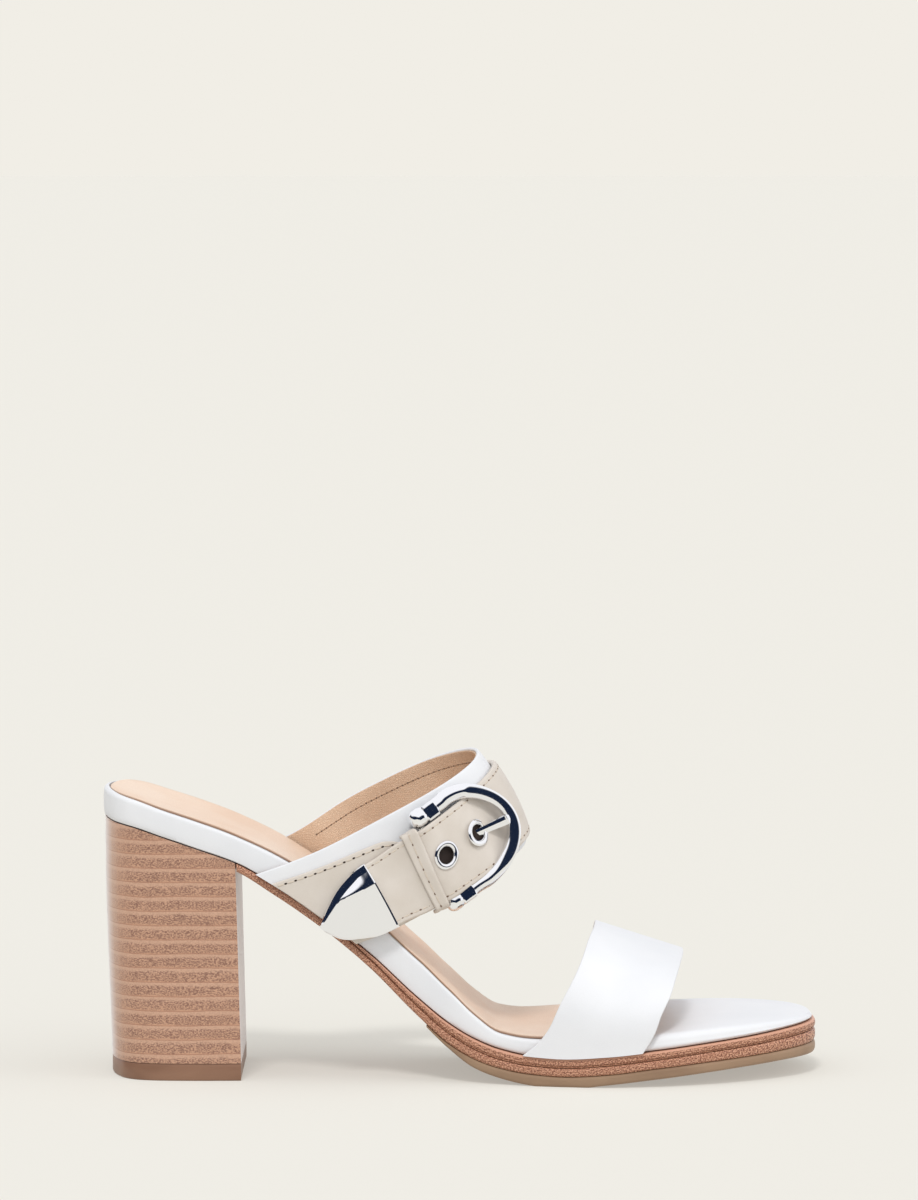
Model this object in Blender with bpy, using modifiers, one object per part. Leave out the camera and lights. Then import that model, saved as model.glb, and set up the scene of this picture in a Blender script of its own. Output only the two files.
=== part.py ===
"""A woman's two-band slide sandal on a high block heel, right foot.

The foot points along +X, the outer side of the foot is -Y and the floor is z = 0.  Lengths in the
tables are millimetres; x in them runs forward from the back of the heel.  Every layer of the sole
is worked out from one outline and one side profile, and every piece of the upper from the surface
of the strap that carries it.
"""
import math
from collections import namedtuple

import bpy
import bmesh
import numpy as np

MM = 0.001            # one millimetre, in metres
GAP = 0.3             # air between two pieces that touch on the real sandal
LENGTH = 227.0        # back of the heel to the tip of the toe
STATIONS = 60         # sections along the sole, closer together at both ends

# ---------------------------------------------------------------- sole tables
Outline = namedtuple("Outline", "x outer inner")
OUTLINE = [           # half-widths of the footbed, to the outer and to the inner side of the foot
    Outline(0.0, 0.0, 0.0),
    Outline(2.0, 15.0, 14.8),
    Outline(5.0, 22.4, 21.8),
    Outline(10.0, 26.9, 26.1),
    Outline(18.0, 28.9, 28.1),
    Outline(30.0, 29.4, 28.6),
    Outline(50.0, 28.7, 26.8),
    Outline(75.0, 27.3, 23.3),
    Outline(100.0, 28.6, 22.6),
    Outline(125.0, 33.6, 28.0),
    Outline(145.0, 38.4, 35.2),
    Outline(162.0, 40.6, 39.8),
    Outline(177.0, 39.4, 40.6),
    Outline(192.0, 35.0, 38.4),
    Outline(205.0, 28.6, 34.0),
    Outline(215.0, 21.2, 27.8),
    Outline(222.0, 13.0, 20.0),
    Outline(225.0, 6.4, 12.0),
    Outline(225.8, 0.0, 0.0),
]

Profile = namedtuple("Profile", "x seat rim dish round sole welt ledge")
PROFILE = [           # seat: top of the sole; rim: height of the footbed above it; dish: hollow of
    # the footbed; round: radius of its upper edge; sole, welt: thickness of all the leather and of
    # its upper layer; ledge: how far the leather stands out past the footbed
    Profile(0.0, 82.3, 9.5, 0.8, 1.6, 2.2, 0.0, 0.0),
    Profile(10.0, 80.5, 8.9, 1.4, 1.6, 2.2, 0.0, 0.0),
    Profile(20.0, 77.3, 8.8, 1.6, 1.6, 2.2, 0.0, 0.0),
    Profile(30.0, 73.9, 8.9, 1.6, 1.6, 2.2, 0.0, 0.0),
    Profile(43.0, 69.2, 8.7, 1.4, 1.6, 2.4, 0.0, 0.3),
    Profile(55.0, 62.3, 9.9, 1.0, 1.6, 3.0, 0.0, 0.7),
    Profile(70.0, 52.0, 11.0, 0.6, 1.6, 3.3, 0.0, 0.9),
    Profile(85.0, 40.4, 12.0, 0.4, 1.6, 4.2, 1.4, 1.0),
    Profile(100.0, 26.6, 12.2, 0.4, 1.6, 5.4, 2.4, 1.1),
    Profile(110.0, 18.6, 10.6, 0.6, 1.6, 6.2, 2.9, 1.2),
    Profile(118.0, 14.0, 7.6, 0.9, 1.6, 6.1, 3.0, 1.3),
    Profile(126.0, 11.0, 5.3, 1.0, 1.6, 5.7, 2.9, 1.4),
    Profile(135.0, 9.3, 5.6, 0.9, 1.7, 5.5, 2.8, 1.4),
    Profile(146.0, 8.8, 6.1, 0.6, 2.0, 5.6, 2.8, 1.4),
    Profile(160.0, 9.7, 5.9, 0.0, 2.4, 5.6, 2.7, 1.4),
    Profile(175.0, 11.3, 5.3, -0.4, 2.8, 5.4, 2.6, 1.3),
    Profile(190.0, 12.9, 4.7, -0.7, 2.8, 5.6, 2.5, 1.2),
    Profile(205.0, 14.4, 4.0, -0.8, 2.4, 6.0, 2.6, 1.2),
    Profile(218.0, 15.8, 3.2, -0.6, 1.8, 6.4, 2.7, 1.2),
    Profile(227.0, 16.7, 2.6, -0.3, 1.3, 6.7, 2.8, 1.2),
]

Tread = namedtuple("Tread", "x low")
TREAD = [             # underside of the rubber; below zero the floor has worn it flat
    Tread(100.0, 20.4),
    Tread(110.0, 10.8),
    Tread(118.0, 5.0),
    Tread(126.0, 2.1),
    Tread(134.0, 0.4),
    Tread(141.0, -0.3),
    Tread(150.0, -0.3),
    Tread(158.0, 0.6),
    Tread(175.0, 2.5),
    Tread(190.0, 4.0),
    Tread(205.0, 5.3),
    Tread(218.0, 6.1),
    Tread(227.0, 6.3),
]
RUBBER_START = 103.0  # where the rubber outsole begins, feathered out under the waist
WELT_START = 72.0     # where the upper layer of leather begins

HeelLevel = namedtuple("HeelLevel", "up back breast half")
HEEL = [              # up: 0 at the floor, 1 at the seat; back and breast: x; half: half-width
    HeelLevel(0.00, 2.4, 44.3, 26.6),
    HeelLevel(0.25, 1.7, 43.9, 26.9),
    HeelLevel(0.50, 1.0, 43.5, 27.3),
    HeelLevel(0.75, 0.5, 43.1, 27.9),
    HeelLevel(1.00, 0.4, 42.7, 28.7),
]
LIFT_HEIGHT = 5.4     # the heel's top lift

# --------------------------------------------------------------- strap tables
Wrap = namedtuple("Wrap", "side rise ahead front")
INSTEP_WRAP = [       # side: -1 outer, 1 inner side of the foot; rise: 0 sole, 1 crest; ahead and
    # front: how far its rear and front edges lie ahead of a straight line from the sole to the crest
    Wrap(-1.00, 0.06, 2.2, 1.5),
    Wrap(-0.99, 0.18, 5.0, 3.5),
    Wrap(-0.94, 0.37, 6.0, 4.2),
    Wrap(-0.82, 0.57, 6.4, 4.5),
    Wrap(-0.60, 0.77, 6.2, 4.3),
    Wrap(-0.26, 0.93, 3.8, 2.7),
    Wrap(0.18, 1.00, 0.0, 0.0),
    Wrap(0.58, 0.97, -3.0, -2.1),
    Wrap(0.84, 0.86, -5.6, -3.9),
    Wrap(0.96, 0.66, -5.8, -4.1),
    Wrap(1.00, 0.42, -3.6, -2.5),
    Wrap(1.00, 0.20, 0.4, 0.3),
    Wrap(1.00, 0.06, 1.4, 1.0),
]
TOE_WRAP = [
    Wrap(-1.00, 0.08, 1.6, 0.2),
    Wrap(-1.00, 0.22, 2.3, 0.3),
    Wrap(-0.985, 0.40, 1.9, 0.2),
    Wrap(-0.92, 0.60, 1.0, -0.1),
    Wrap(-0.77, 0.79, -0.1, -0.9),
    Wrap(-0.50, 0.925, -1.2, -1.3),
    Wrap(-0.12, 0.99, -0.5, -0.6),
    Wrap(0.24, 1.00, 0.2, 0.0),
    Wrap(0.56, 0.94, 0.9, 0.2),
    Wrap(0.80, 0.80, 1.8, 0.5),
    Wrap(0.94, 0.59, 2.2, 0.5),
    Wrap(0.99, 0.40, 1.8, 0.3),
    Wrap(1.00, 0.22, 1.2, 0.1),
    Wrap(1.00, 0.08, 0.4, 0.0),
]

Band = namedtuple("Band", "outer_rear outer_front inner_rear inner_front rear_crest front_crest "
                          "rear_half front_half hug wall crown")
INSTEP = Band(        # where its edges leave the sole (x), on the outer and on the inner side
    50.5, 82.0,
    48.0, 79.0,
    (118.2, 101.9), (133.6, 73.4),    # top of the rear and of the front edge (x, z)
    28.6, 25.8, 0.30, 1.8,            # half-widths at its edges; hug: share of the rise that lies
    # against the footbed; wall
    1.6)                              # crown across the crest
TOE = Band(
    132.0, 169.5,
    146.0, 174.0,
    (156.4, 45.8), (185.0, 36.6),
    40.0, 40.0, 0.50, 1.6,
    0.0)
BeltLine = namedtuple("BeltLine", "along across")
BELT_LINE = [         # the belt's middle on the instep strap, from outer to inner side
    BeltLine(0.0, 0.665),
    BeltLine(0.10, 0.655),
    BeltLine(0.19, 0.640),
    BeltLine(0.29, 0.603),
    BeltLine(0.35, 0.580),
    BeltLine(0.46, 0.555),
    BeltLine(0.70, 0.600),
    BeltLine(1.0, 0.640),
]
BAR = 0.222           # where the buckle's bar crosses that line

# From here on "x" is a place along the belt: 0 at the buckle's bar, positive to the inner side.
Lean = namedtuple("Lean", "x lean")
LEAN = [              # how far everything on the belt leans back for each mm to its front side
    Lean(-20.0, -0.03),
    Lean(-12.0, 0.06),
    Lean(-5.0, 0.14),
    Lean(3.0, 0.16),
    Lean(12.0, 0.11),
    Lean(24.0, 0.03),
    Lean(35.0, 0.0),
]
BeltRise = namedtuple("BeltRise", "x lift")
BELT_RISE = [         # the belt's middle over the strap's: over the bar, the prong and then the strap
    BeltRise(-21.0, 3.4),
    BeltRise(-13.0, 3.4),
    BeltRise(-7.0, 4.3),
    BeltRise(-2.5, 6.2),
    BeltRise(0.5, 6.6),
    BeltRise(5.0, 5.8),
    BeltRise(11.0, 5.0),
    BeltRise(15.5, 4.4),
    BeltRise(19.0, 3.2),
    BeltRise(23.0, 2.4),
    BeltRise(28.0, 2.1),
]
BELT_HALF = 12.0
BELT_END_HALF = 11.0  # at its straight end
BELT_WALL = 1.8
BELT_START = -20.3    # the belt's straight end, in the metal tip
BELT_FOOT = 0.8       # its other end above the sole, on the inner side

Overlay = namedtuple("Overlay", "rear_along rear_across front_along front_across")
OVERLAY = [           # both edges of the piece under the belt, in the strap's own coordinates; the
    # first row is brought down to the sole
    Overlay(-0.02, 0.150, -0.02, 1.0),
    Overlay(0.060, 0.164, 0.040, 1.0),
    Overlay(0.120, 0.179, 0.090, 1.0),
    Overlay(0.172, 0.208, 0.120, 1.0),
    Overlay(0.187, 0.250, 0.140, 1.0),
    Overlay(0.202, 0.300, 0.160, 1.0),
    Overlay(0.250, 0.285, 0.192, 0.99),
]
OVERLAY_WALL = 1.0
OVERLAY_FOOT = 0.9

Tip = namedtuple("Tip", "x rear front bevel")
TIP = [               # how far the belt's metal tip reaches to its rear and to its front side
    Tip(-20.6, 11.3, 11.4, 3.0),
    Tip(-24.5, 10.6, 11.1, 3.2),
    Tip(-29.0, 8.9, 10.2, 3.2),
    Tip(-33.0, 6.7, 9.0, 2.9),
    Tip(-36.6, 3.6, 7.4, 2.2),
    Tip(-39.2, 0.9, 5.0, 1.2),
    Tip(-40.8, -0.8, 3.0, 0.5),
    Tip(-41.4, -1.5, 1.9, 0.1),
]
TIP_HEIGHT = 2.9

Rod = namedtuple("Rod", "x side lift radius")
FRAME_ARM = [         # from the knob at the bar to where the frame's round end begins
    Rod(-2.4, 15.4, 4.0, 1.3),
    Rod(-1.6, 15.4, 4.0, 2.1),
    Rod(0.3, 15.5, 4.0, 2.4),
    Rod(2.1, 15.5, 4.0, 2.1),
    Rod(3.5, 15.4, 4.1, 1.6),
    Rod(5.2, 15.3, 4.3, 1.9),
    Rod(8.0, 15.3, 5.0, 1.9),
]
FRAME_CENTRE = 11.0   # of the round end
FRAME_SIDE = -0.7     # the whole frame sits a little to the rear on the belt
FRAME_RADIUS = 15.3
FRAME_APEX = 6.6      # lift of the frame where it passes over the belt
FRAME_FLAT = 0.88     # its thickness, as a share of its width
BAR_RADIUS = 1.3

PRONG = [             # from beside the bar, under the belt and through its second hole
    Rod(2.0, -0.5, 2.3, 0.9),
    Rod(6.5, -0.5, 2.3, 0.9),
    Rod(10.5, -0.5, 2.2, 0.9),
    Rod(12.5, -0.5, 2.5, 0.85),
    Rod(14.5, -0.5, 3.9, 0.85),
    Rod(16.5, -0.5, 5.8, 0.85),
    Rod(18.7, -0.5, 7.6, 1.0),
    Rod(21.2, -0.4, 9.1, 1.15),
    Rod(23.8, -0.3, 9.8, 1.15),
    Rod(26.2, -0.2, 9.8, 1.0),
]
Hole = namedtuple("Hole", "x side")
HOLES = (Hole(2.7, -0.7), Hole(15.3, -0.5))
HOLE_RADIUS = 3.0
EYELET = [            # radius and height over the belt's middle of the eyelet's profile
    (2.4, 0.3), (2.7, 0.3), (2.7, 1.2), (4.2, 1.2), (4.15, 1.6), (3.5, 1.9), (2.7, 1.6), (2.4, 1.0),
]

KEEPER_PLACE = -5.2
KEEPER_WIDTH = 4.8
KEEPER_WALL = 1.2
KEEPER_FOOT = 2.6     # lift of the loop's ends

MARGIN = 8.0          # how far each strap is lasted in under the footbed
SIDE_GAP = 0.4        # between a strap and the side of the footbed


# ---------------------------------------------------------------- mathematics
class Curve:
    """A smooth line through a table's rows that never overshoots them."""

    def __init__(self, at, values):
        self.at = np.array(at, float)
        self.values = np.array(values, float)
        step = np.diff(self.at)
        rise = np.diff(self.values) / step
        self.slope = np.zeros(len(self.at))
        self.slope[0], self.slope[-1] = rise[0], rise[-1]
        for i in range(1, len(self.at) - 1):
            if rise[i - 1] * rise[i] > 0:
                before = 2 * step[i] + step[i - 1]
                after = step[i] + 2 * step[i - 1]
                self.slope[i] = (before + after) / (before / rise[i - 1] + after / rise[i])

    def __call__(self, x):
        x = min(max(x, self.at[0]), self.at[-1])
        i = int(np.clip(np.searchsorted(self.at, x) - 1, 0, len(self.at) - 2))
        h = self.at[i + 1] - self.at[i]
        t = (x - self.at[i]) / h
        a, b = self.values[i], self.values[i + 1]
        ease = t * t * (3 - 2 * t)
        bend = self.slope[i] * t * (1 - t) ** 2 - self.slope[i + 1] * t * t * (1 - t)
        return a + (b - a) * ease + h * bend


def column(table, name):
    return Curve([row.x for row in table], [getattr(row, name) for row in table])


def smooth_path(points):
    """A smooth space curve through the points, as a function of 0 to 1 at an even pace."""
    points = np.array(points, float)
    step = np.linalg.norm(np.diff(points, axis=0), axis=1)
    knots = np.concatenate(([0.0], np.cumsum(step)))
    count = len(points)
    system = np.eye(count)
    right = np.zeros((count, 3))
    for i in range(1, count - 1):
        system[i, i - 1:i + 2] = step[i - 1], 2 * (step[i - 1] + step[i]), step[i]
        right[i] = 6 * ((points[i + 1] - points[i]) / step[i] - (points[i] - points[i - 1]) / step[i - 1])
    bend = np.linalg.solve(system, right)

    def at(s):
        s = s * knots[-1]
        i = int(np.clip(np.searchsorted(knots, s) - 1, 0, count - 2))
        h = step[i]
        a, b = (knots[i + 1] - s) / h, (s - knots[i]) / h
        return (a * points[i] + b * points[i + 1]
                + ((a ** 3 - a) * bend[i] + (b ** 3 - b) * bend[i + 1]) * h * h / 6)
    return at


def mix(a, b, t):
    return a + (b - a) * t


def ease(t):
    t = min(max(t, 0.0), 1.0)
    return t * t * (3 - 2 * t)


# ------------------------------------------------------------------- the last
FOOTBED_LENGTH = OUTLINE[-1].x
seat = column(PROFILE, "seat")
rim = column(PROFILE, "rim")
dish = column(PROFILE, "dish")
rounding = column(PROFILE, "round")
sole = column(PROFILE, "sole")
welt = column(PROFILE, "welt")
ledge = column(PROFILE, "ledge")
tread = column(TREAD, "low")


def turn(x):
    """Length as an angle: 0 at the heel, pi at the toe, so that both ends close roundly."""
    return math.acos(1 - 2 * min(max(x / FOOTBED_LENGTH, 0.0), 1.0))


OUTER = Curve([turn(row.x) for row in OUTLINE], [row.outer for row in OUTLINE])
INNER = Curve([turn(row.x) for row in OUTLINE], [row.inner for row in OUTLINE])


def half_width(x, side):
    return (INNER if side > 0 else OUTER)(turn(x))


def edge(angle, side, grow=0.0):
    """A point of the outline, moved outwards by grow."""
    width = INNER if side > 0 else OUTER
    small = 1e-3
    along = FOOTBED_LENGTH / 2 * math.sin(angle)
    out = (width(min(angle + small, math.pi)) - width(max(angle - small, 0.0))) / (2 * small)
    if angle < small or angle > math.pi - small:
        along = 0.0
    size = math.hypot(along, out)
    x = FOOTBED_LENGTH / 2 * (1 - math.cos(angle)) - grow * out / size
    return x, side * width(angle) + side * grow * along / size


def stations(start=0.0, end=FOOTBED_LENGTH):
    """Section angles from start to end; every layer shares the ones in between."""
    first, last = turn(start), turn(end)
    shared = [math.pi * i / STATIONS for i in range(STATIONS + 1)]
    spare = 0.3 * math.pi / STATIONS
    return [first] + [a for a in shared if first + spare < a < last - spare] + [last]


def steep(x):
    """How much longer the sole's slope is than its plan, at x."""
    return math.hypot(1.0, (seat(x + 0.5) - seat(x - 0.5)))


def floor_height(x, y):
    """Top of the footbed."""
    half = half_width(x, y) or 1.0
    across = min(abs(y) / half, 1.0) if half > 1 else 1.0
    return seat(x) + rim(x) - dish(x) * (1 - across ** 2)


# -------------------------------------------------------------------- modelling
def clear_scene():
    for item in list(bpy.data.objects):
        bpy.data.objects.remove(item, do_unlink=True)


def collection(name):
    group = bpy.data.collections.new(name)
    bpy.context.scene.collection.children.link(group)
    return group


def material(name, colour, roughness, metallic=0.0):
    finish = bpy.data.materials.new(name)
    finish.use_nodes = True
    shader = finish.node_tree.nodes["Principled BSDF"]
    shader.inputs["Base Color"].default_value = (*colour, 1.0)
    shader.inputs["Roughness"].default_value = roughness
    shader.inputs["Metallic"].default_value = metallic
    finish.diffuse_color = (*colour, 1.0)
    return finish


def place(point):
    """From the tables' millimetres to metres, with the origin under the middle of the shoe."""
    return ((point[0] - LENGTH / 2) * MM, point[1] * MM, point[2] * MM)


def mesh_object(name, points, faces, finish, group, closed=True):
    """An object from points and faces; doubled points at rounded ends are welded."""
    mesh = bpy.data.meshes.new(name)
    mesh.from_pydata([place(p) for p in points], [], faces)
    work = bmesh.new()
    work.from_mesh(mesh)
    bmesh.ops.remove_doubles(work, verts=work.verts, dist=1e-6)
    if closed:
        bmesh.ops.recalc_face_normals(work, faces=work.faces)
    work.to_mesh(mesh)
    work.free()
    mesh.materials.append(finish)
    item = bpy.data.objects.new(name, mesh)
    group.objects.link(item)
    mesh.shade_smooth()
    mesh.set_sharp_from_angle(angle=math.radians(40))
    return item


def loft(name, sections, finish, group, caps=(False, False)):
    """A solid through closed sections of equal count; rounded ends need no cap."""
    count = len(sections[0])
    points = [p for section in sections for p in section]
    faces = []
    for k in range(len(sections) - 1):
        for i in range(count):
            j = (i + 1) % count
            faces.append((k * count + i, k * count + j, (k + 1) * count + j, (k + 1) * count + i))
    if caps[0]:
        faces.append(tuple(range(count)))
    if caps[1]:
        faces.append(tuple((len(sections) - 1) * count + i for i in range(count)))
    return mesh_object(name, points, faces, finish, group)


def sheet(name, rows, thickness, finish, group):
    """A wall of even thickness about a grid of points."""
    width = len(rows[0])
    points = [p for row in rows for p in row]
    faces = [(k * width + i, k * width + i + 1, (k + 1) * width + i + 1, (k + 1) * width + i)
             for k in range(len(rows) - 1) for i in range(width - 1)]
    item = mesh_object(name, points, faces, finish, group, closed=False)
    wall = item.modifiers.new("wall", "SOLIDIFY")
    wall.thickness = thickness * MM
    wall.offset = 0.0
    wall.use_even_offset = True
    return item


def boolean(item, other, operation):
    """Combine item with other, which stays in the scene as a wire guide."""
    other.hide_render = True
    other.display_type = "WIRE"
    step = item.modifiers.new(f"{operation.lower()} {other.name}", "BOOLEAN")
    step.object = other
    step.operation = operation
    step.solver = "EXACT"


# ------------------------------------------------------------------------ sole
TOP_COLUMNS = 5       # lengthwise lines across the top of the footbed and of the sock


def across(angle, grow, height, count=TOP_COLUMNS):
    """Points from the outer to the inner edge, height(x, y) up."""
    a, b = edge(angle, -1, grow), edge(angle, 1, grow)
    line = [(mix(a[0], b[0], k / (count + 1)), mix(a[1], b[1], k / (count + 1)))
            for k in range(count + 2)]
    return [(x, y, height(x, y)) for x, y in line]


def layer(name, angles, low, high, grow, finish, group, caps, bevel=0.0):
    """A layer of the sole between two heights, with its edge moved out by grow(x)."""
    sections = []
    for angle in angles:
        x = FOOTBED_LENGTH / 2 * (1 - math.cos(angle))
        points = []
        for side in (-1, 1):
            wall = []
            for inset, base, lift in ((bevel, low, 0.0), (0.0, low, bevel), (0.0, high, 0.0)):
                px, py = edge(angle, side, grow(x) - inset)
                wall.append((px, py, base(px) + lift))
            if not bevel:
                wall = wall[1:]
            points += wall if side < 0 else wall[::-1]
        sections.append(points)
    return loft(name, sections, finish, group, caps)


def make_footbed(finish, group):
    """The padded footbed: flat underneath, a round upper edge and a hollowed top."""
    lower_bevel = 0.6
    sections = []
    for angle in stations():
        radius = rounding(FOOTBED_LENGTH / 2 * (1 - math.cos(angle)))
        slant = radius * (1 - math.sqrt(0.5))
        walls = []
        for side in (-1, 1):
            wall = []
            for inset, base, lift in ((lower_bevel, 0.0, GAP), (0.0, 0.0, GAP + lower_bevel),
                                      (0.0, 1.0, -radius), (slant, 1.0, -slant)):
                x, y = edge(angle, side, -inset)
                wall.append((x, y, seat(x) + base * rim(x) + lift))
            walls.append(wall)
        top = across(angle, -radius, floor_height)
        sections.append(walls[0] + top + walls[1][::-1])
    return loft("footbed", sections, finish, group)


SOCK_INSET = 0.9      # the sock stops short of the footbed's edge
SOCK_WALL = 0.9
SOCK_END = 163.0      # hidden under the toe strap


def make_sock(finish, group):
    def under(x, y):
        return floor_height(x, y) + GAP

    def over(x, y):
        return floor_height(x, y) + GAP + SOCK_WALL

    sections = [across(a, -SOCK_INSET, under) + across(a, -SOCK_INSET, over)[::-1]
                for a in stations(0.0, SOCK_END)]
    return loft("sock", sections, finish, group, caps=(False, True))


def make_sole(leather, rubber, group):
    """Welt and midsole of leather, from the heel's breast and the waist, on a rubber outsole."""
    def welt_low(x):
        return seat(x) - welt(x)

    def midsole_high(x):
        return seat(x) - (welt(x) + GAP if x > WELT_START - 1 else 0.0)

    def leather_low(x):
        return seat(x) - sole(x)

    def rubber_high(x):
        return leather_low(x) - GAP

    def rubber_low(x):
        return max(tread(x), 0.0)

    layer("welt", stations(WELT_START), welt_low, seat, ledge, leather, group, (True, False))
    layer("midsole", stations(HEEL[-1].breast + 0.4), leather_low, midsole_high, ledge, leather, group,
          (True, False))
    layer("outsole", stations(RUBBER_START), rubber_low, rubber_high, ledge, rubber, group,
          (True, False), bevel=0.3)


def heel_point(angle, side, level, grow=0.0):
    """The seat's rounded back, scaled to the heel's size at a level."""
    inset = 0.4
    x, y = edge(angle, side, -inset)
    scale = (level.breast - level.back) / (HEEL[-1].breast - inset)
    half = level.half / HEEL[-1].half
    sign = 1 if y > 0 else -1
    x = level.back + (x - inset) * scale
    return x, y * half + sign * grow if abs(y) > 0.01 else 0.0


def make_heel(stack, lift, group):
    """A block of stacked leather under the seat, on its top lift."""
    angles = stations(0.0, HEEL[-1].breast)
    low = LIFT_HEIGHT + GAP
    block = []
    for angle in angles:
        walls = []
        for side in (-1, 1):
            wall = []
            for level in HEEL:
                x, y = heel_point(angle, side, level)
                wall.append((x, y, mix(low, seat(x), level.up)))
            walls.append(wall)
        block.append(walls[0] + walls[1][::-1])
    loft("heel_block", block, stack, group, caps=(False, True))

    bevel = 0.5
    lift_sections = []
    for angle in angles:
        walls = []
        for side in (-1, 1):
            bottom = heel_point(angle, side, HEEL[0], -bevel)
            outer = heel_point(angle, side, HEEL[0])
            walls.append([(*bottom, 0.0), (*outer, bevel), (*outer, LIFT_HEIGHT)])
        lift_sections.append(walls[0] + walls[1][::-1])
    loft("top_lift", lift_sections, lift, group, caps=(False, True))


# ----------------------------------------------------------------------- straps
class Strap:
    """The middle surface of a strap: along 0 to 1 from outer to inner side, across 0 to 1 from
    rear to front edge."""

    def __init__(self, band, wraps):
        self.band = band
        self.wraps = wraps
        self.fold = SIDE_GAP + band.wall / 2    # radius of the fold round the footbed's edge
        self.paths = {}

    def base_x(self, side, across):
        rear, front = ((self.band.outer_rear, self.band.outer_front) if side < 0
                       else (self.band.inner_rear, self.band.inner_front))
        return mix(rear, front, across)

    def base_z(self, x):
        return seat(x) + (GAP + self.band.wall / 2) * steep(x)

    def reach(self, x, side):
        return side * (half_width(x, side) + SIDE_GAP + self.band.wall / 2)

    def crest(self, across):
        """Top of the band, from its rear to its front edge, crowned between them."""
        rear, front = self.band.rear_crest, self.band.front_crest
        run, fall = front[0] - rear[0], rear[1] - front[1]
        crown = self.band.crown * 4 * across * (1 - across) / math.hypot(run, fall)
        return mix(rear[0], front[0], across) + crown * fall, mix(rear[1], front[1], across) + crown * run

    def row(self, side, rise, ahead, front, across):
        """A point of the strap at a side of the foot and a share of the rise."""
        share = ease((side + 1) / 2)
        outer, inner = self.base_x(-1, across), self.base_x(1, across)
        crest_x, crest_z = self.crest(across)
        x = mix(mix(outer, inner, share), crest_x, rise) + mix(ahead, front, across)
        z = mix(mix(self.base_z(outer), self.base_z(inner), share), crest_z, rise)
        hold = ease((rise - self.band.hug / 2) / self.band.hug)
        beside = abs(self.reach(x, 1 if side > 0 else -1))
        half = mix(self.band.rear_half, self.band.front_half, across)
        return np.array((x, side * mix(beside, half, hold), z))

    def path(self, across):
        key = round(across, 5)
        if key not in self.paths:
            self.paths[key] = smooth_path([self.row(*wrap, across) for wrap in self.wraps])
        return self.paths[key]

    def middle(self, along, across):
        """A point of the middle surface; past both ends it runs on straight down the wall."""
        path = self.path(across)
        inside = min(max(along, 0.0), 1.0)
        if along == inside:
            return path(inside)
        step = 0.01
        foot, above = path(inside), path(abs(inside - step))
        pace = np.linalg.norm(foot - above) / step
        down = np.array(self.margin(-1 if along < 0 else 1, across)[-1]) - foot
        return foot + down / np.linalg.norm(down) * pace * abs(along - inside)

    def at(self, along, across, lift=0.0):
        """A point on the strap, lifted off its middle surface to the outside."""
        d = 0.004
        ahead = self.middle(along + d, across) - self.middle(along - d, across)
        beside = self.middle(along, across + d) - self.middle(along, across - d)
        normal = np.cross(beside, ahead)
        return self.middle(along, across) + normal / np.linalg.norm(normal) * lift

    def foot(self, side, across, height):
        """How far along the surface comes down to a height above the sole."""
        low, high = (-0.08, 0.1) if side < 0 else (1.08, 0.9)
        for _ in range(30):
            centre = (low + high) / 2
            point = self.middle(centre, across)
            if point[2] - seat(point[0]) < height:
                low = centre
            else:
                high = centre
        return centre

    def margin(self, side, across):
        """From under the footbed, round the fold, to the foot of the wall."""
        x = self.base_x(side, across)
        z = self.base_z(x)
        first = self.wraps[0 if side < 0 else -1]
        foot = self.row(*first, across)
        points = [(x, self.reach(x, side) - side * (self.fold + MARGIN), z)]
        for turned in (0.0, math.pi / 4, math.pi / 2):
            up = self.fold * (1 - math.cos(turned))
            in_from_edge = self.fold * (1 - math.sin(turned))
            here = mix(x, foot[0], up / (foot[2] - z))
            points.append((here, self.reach(here, side) - side * in_from_edge, z + up))
        return points

    def rows(self, columns, count):
        """The grid of the whole strap, both margins included."""
        lines = []
        for across in columns:
            line = self.margin(-1, across)
            line += [tuple(self.middle(k / count, across)) for k in range(count + 1)]
            line += self.margin(1, across)[::-1]
            lines.append(line)
        return [[lines[c][r] for c in range(len(columns))] for r in range(len(lines[0]))]

    def recess(self, name, side, finish, group):
        """The cutter for the footbed's underside that lets the margin in."""
        rear, front = self.base_x(side, 0), self.base_x(side, 1)
        spare = 1.5 * GAP + self.band.wall / 2 * math.sqrt(1 - 1 / steep(rear) ** 2)
        lean = self.row(*self.wraps[0 if side < 0 else -1], 1.0)[0] - front
        sections = []
        count = 6
        for k in range(count + 1):
            x = mix(rear - spare, front + spare + lean, k / count)
            inner = self.reach(x, side) - side * (self.fold + MARGIN + 1.5 * GAP)
            outer = self.reach(x, side) + side * 4
            low = seat(x) - 2
            high = seat(x) + (self.band.wall + 3.4 * GAP) * steep(x)
            sections.append([(x, inner, low), (x, outer, low), (x, outer, high), (x, inner, high)])
        return loft(name, sections, finish, group, caps=(True, True))


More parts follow.
